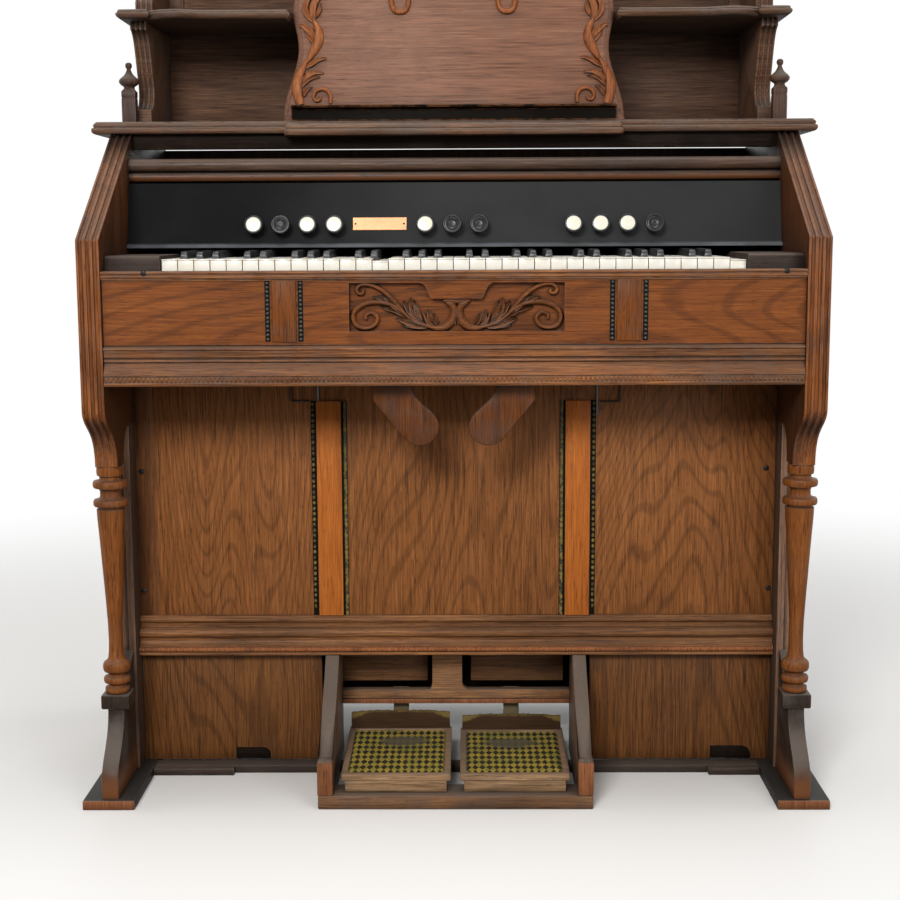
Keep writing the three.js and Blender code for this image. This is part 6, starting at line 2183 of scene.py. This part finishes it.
def carpetLook(name, worn):
    # Rows of dark lozenges in a yellow-green weave, rubbed grey in an oval, given as place and half sizes;
    # the grey is worn pile and partly a painted highlight of its sheen.
    make = Recipe(name)
    base = make.place()
    wobble = make.noise(base, 90, 3, 0.6) * 2.2
    across = make.axis("X") * (2 * math.pi / carpetSettings["lozenge"][0]) + wobble
    along = make.axis("Y") * (2 * math.pi / carpetSettings["lozenge"][1]) + wobble
    lattice = across.maths("COSINE") * 0.5 + along.maths("COSINE") * 0.5
    tuft = make.node("ShaderNodeTexVoronoi", {"feature": "F1"}, {"Vector": base, "Scale": 560.0},
                     output="Distance")
    fuzz = make.noise(base, 700, 2, 0.6)
    patch = make.noise(base, 42, 3, 0.6)
    gold = make.blend(make.ease(patch, 0.4, 0.65), paint(190, 162, 60), paint(156, 148, 62))
    dark = make.blend(make.ease(patch, 0.4, 0.6), paint(32, 32, 20), paint(58, 48, 20))
    colour = make.blend(make.ease(lattice + fuzz * 0.5 - 0.25, -0.12, 0.16), gold, dark)
    colour = make.blend(make.ease(tuft, 0.2, 0.75) * 0.5, colour, paint(38, 36, 22))
    x, depth, halfWide, halfDeep = worn
    spot = make.node("ShaderNodeTexCoord", output="Object")
    scale = (1 / halfWide, 1 / halfDeep, 0)
    centred = make.node("ShaderNodeMapping",
                        inputs={"Vector": spot, "Location": (-x / halfWide, -(caseFront + depth) / halfDeep,
                                                             0), "Scale": scale})
    reach = make.length(centred)
    # The rubbed oval: worn pile, its light grey partly a painted highlight.
    baldAndSheen = 1 - make.ease(reach + make.noise(base, 110, 3, 0.65) * 0.8 - 0.4, 0.7, 1.15)
    colour = make.blend(baldAndSheen * 0.9, colour, make.blend(fuzz, paint(60, 54, 42), paint(112, 102, 80)))
    height = tuft * -1 + fuzz * 0.6
    return make.finish(colour=colour, rough=0.95, specular=0.04, sheen=0.03, sheenRough=0.5,
                       normal=make.bump(height, 0.9, 0.0012))


def feltLook(name, top):
    make = Recipe(name)
    corner = (make.axis("X").maths("ABSOLUTE") - 0.089).maths("ABSOLUTE")
    fray = make.noise(make.place(), 240, 3, 0.7) * 0.008 + make.ease(corner, 0.045, 0.082) * 0.011
    fringe = make.ease(make.axis("Z") + fray, top + 0.0006, top + 0.0048)
    fuzz = make.noise(make.place(), 700, 3, 0.65)
    grain = make.noise(make.place((0.08, 1, 1)), 260, 3, 0.6)
    colour = make.blend(grain, paint(40, 29, 20), paint(82, 58, 38))
    colour = make.blend(fringe * 0.85, colour, paint(124, 104, 58))
    colour = make.blend(fuzz * 0.3, colour, paint(50, 38, 24))
    return make.finish(colour=colour, rough=0.9, specular=0.1, normal=make.bump(fuzz, 0.7, 0.001))


def webbingLook():
    make = Recipe("strapWebbing")
    spot = make.place()
    across = make.waves(spot, "X", 190.0)
    along = make.waves(spot, "Z", 260.0)
    fuzz = make.noise(spot, 600, 3, 0.6)
    weave = across * 0.5 + along * 0.5
    colour = make.blend(weave, paint(78, 66, 48), paint(134, 120, 92))
    colour = make.blend(fuzz * 0.4, colour, paint(96, 82, 60))
    edge = make.edges(0.001)
    colour = make.blend(edge * 0.4, colour, paint(96, 78, 54))
    return make.finish(colour=colour, rough=0.9, specular=0.2, normal=make.bump(weave, 0.6, 0.0006))


strapSettings = {"bottom": 0.0453, "top": 0.119, "keep": 0.39, "steps": 14}


def buildStrap(side, hand):
    s = strapSettings
    low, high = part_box("strap_" + hand)
    stations = []
    for i in range(s["steps"] + 1):
        height = low.z + (high.z - low.z) * i / s["steps"]
        wave = 0.00035 * math.sin(i * 1.9 + side)
        front, rear = low.y + 0.0001, high.y
        ring = [(low.x + wave, front + 0.0006), (low.x + 0.0006 + wave, front),
                (high.x - 0.0006 + wave, front), (high.x + wave, front + 0.0006),
                (high.x + wave, rear - 0.0006), (high.x - 0.0006 + wave, rear),
                (low.x + 0.0006 + wave, rear), (low.x + wave, rear - 0.0006)]
        stations.append([Vector((x, y, height)) for x, y in ring])
    bm = bmesh.new()
    sweptInto(bm, stations)
    made = piece("pull_strap_" + hand, bm, "webbing", "case", ["strap_" + hand], sharp=80)
    "pedal_%s_tread" % hand
    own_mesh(made)
    "pedal_tray_" + hand


for hand, worn in carpetSettings["worn"].items():
    materials["carpet_" + hand] = carpetLook("wornCarpet_" + hand, worn)
materials["pedalCheek"] = oak("oakPedalCheek", "Z", (75, 56, 45), (119, 92, 73), (160, 123, 94), 26,
                              rings=6, wear=0.6, dustAndSheen=0.5)
for hand, top in pedalSettings["feltTop"].items():
    materials["felt_" + hand] = feltLook("raggedFelt_" + hand, top)
materials["webbing"] = webbingLook()
buildPedalFrame()
bothSides(buildPedal)
bothSides(buildStrap)
print("pedals made")


# Bellows, wind chest and back

bellowsSettings = {
    "board": ((0.318, 0.330), 0.4302, 0.066, 0.6667),
    "cleat": ((0.300, 0.320), (-0.196, 0.174), (0.4481, 0.4721)),
    "folds": 3,
    "foldHalf": 0.4002,
    "foldHeights": (0.250, 0.600),
    "foldInset": 0.022,
    "moving": 0.012,
    "clothThickness": 0.0012,
    "clothDepth": 0.17,
}


def buildReservoir():
    s = bellowsSettings
    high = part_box("reservoir")[1]
    board, moving = bmesh.new(), s["moving"]
    depths, half, foot, top = s["board"]
    slabInto(board, (-half, half), depths, (foot, top), 0.0015)
    slabInto(board, s["cleat"][1], s["cleat"][0], s["cleat"][2], 0.0015)
    rear = high.y - caseFront
    slabInto(board, (-s["foldHalf"], s["foldHalf"]), (rear - moving, rear), s["foldHeights"], 0.0015)
    piece("bellows_boards", board, "dark", replaced=["reservoir"])
    cloth = bmesh.new()
    start, end = depths[1], rear - moving
    stations, count = [], s["folds"] * 2
    for i in range(count * 4 + 1):
        share = i / (count * 4)
        phase = share * s["folds"] * 2 * math.pi
        inset = s["foldInset"] * (0.5 + 0.5 * math.cos(phase)) ** 0.8 + 0.0006
        width, foot, top = s["foldHalf"] - inset, s["foldHeights"][0] + inset, s["foldHeights"][1] - inset
        depth = start + (end - start) * share
        stations.append([frontPlace(x, z, depth) for x, z in rectangle((-width, width), (foot, top))])
    sweptInto(cloth, stations, caps=False)
    bmesh.ops.recalc_face_normals(cloth, faces=cloth.faces)
    bmesh.ops.solidify(cloth, geom=cloth.faces[:], thickness=s["clothThickness"])
    made = piece("reservoir_cloth", cloth, "cloth", sharp=25)


def clothLook():
    make = Recipe("bellowsCloth")
    spot = make.place()
    first = make.waves(spot, "X", 260.0)
    second = make.waves(spot, "Z", 260.0)
    weave = first * second
    stain = make.noise(spot, 14, 4, 0.6)
    colour = make.blend(weave, paint(72, 62, 46), paint(104, 92, 70))
    colour = make.blend(stain * 0.6, colour, paint(70, 58, 42))
    return make.finish(colour=colour, rough=0.85, specular=0.2, normal=make.bump(weave, 0.5, 0.0005))


exhausterSettings = {"inner": 0.035, "shift": -0.011, "width": 0.150, "thickness": 0.012,
                     "hinge": (0.306, 0.446), "length": 0.325, "tilt": 0.155}


def buildExhauster(side, hand):
    s = exhausterSettings
    bm = bmesh.new()
    half, thick, long = s["width"] / 2, s["thickness"] / 2, s["length"]
    boxInto(bm, (-half, -thick, -long), (half, thick, 0), 0.0014)
    spot = frontPlace(side * (s["inner"] + half) + s["shift"], s["hinge"][1], s["hinge"][0])
    turned = Matrix.Translation(spot) @ Matrix.Rotation(-s["tilt"], 4, "X")
    bmesh.ops.transform(bm, matrix=turned, verts=bm.verts)
    piece("exhauster_board_" + hand, bm, "exhauster", "exhauster_" + hand,
          ["exhauster_" + hand])


def buildWindchest():
    low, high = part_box("windchest")
    bm = bmesh.new()
    boxInto(bm, low, high, 0.0015)
    piece("wind_chest", bm, "stick", replaced=["windchest"])


backSettings = {"planks": 7, "groove": 0.0012, "screwRows": (0.128, 0.56, 0.955)}


def buildBack():
    s = backSettings
    low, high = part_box("back_board")
    front, rear = low.y - caseFront, high.y - caseFront
    step = (high.x - low.x) / s["planks"]
    bm = bmesh.new()
    screws = bmesh.new()
    for i in range(s["planks"]):
        left = low.x + step * i
        outline = rectangle((left, left + step), (low.z, high.z))
        layers = [(front, 0), (rear - 0.0018, 0), (rear, s["groove"])]
        layeredInto(bm, outline, layers, frontPlace)
        for height in s["screwRows"]:
            for share in (0.18, 0.82):
                screwInto(screws, frontPlace(left + step * share, height, rear - 0.0002), (0, 1, 0), 0.0036)
    piece("back_planks", bm, "back", replaced=["back_board"])
    piece("back_screws", screws, "iron")


materials["cloth"] = clothLook()
materials["exhauster"] = oak("pineExhauster", "X", (62, 40, 25), (98, 66, 41), (128, 90, 58), 22, rings=6,
                             dustAndSheen=0.1, wear=0.6, worn=(160, 112, 70))
buildReservoir()
bothSides(buildExhauster)
buildWindchest()
buildBack()
print("bellows and back made")
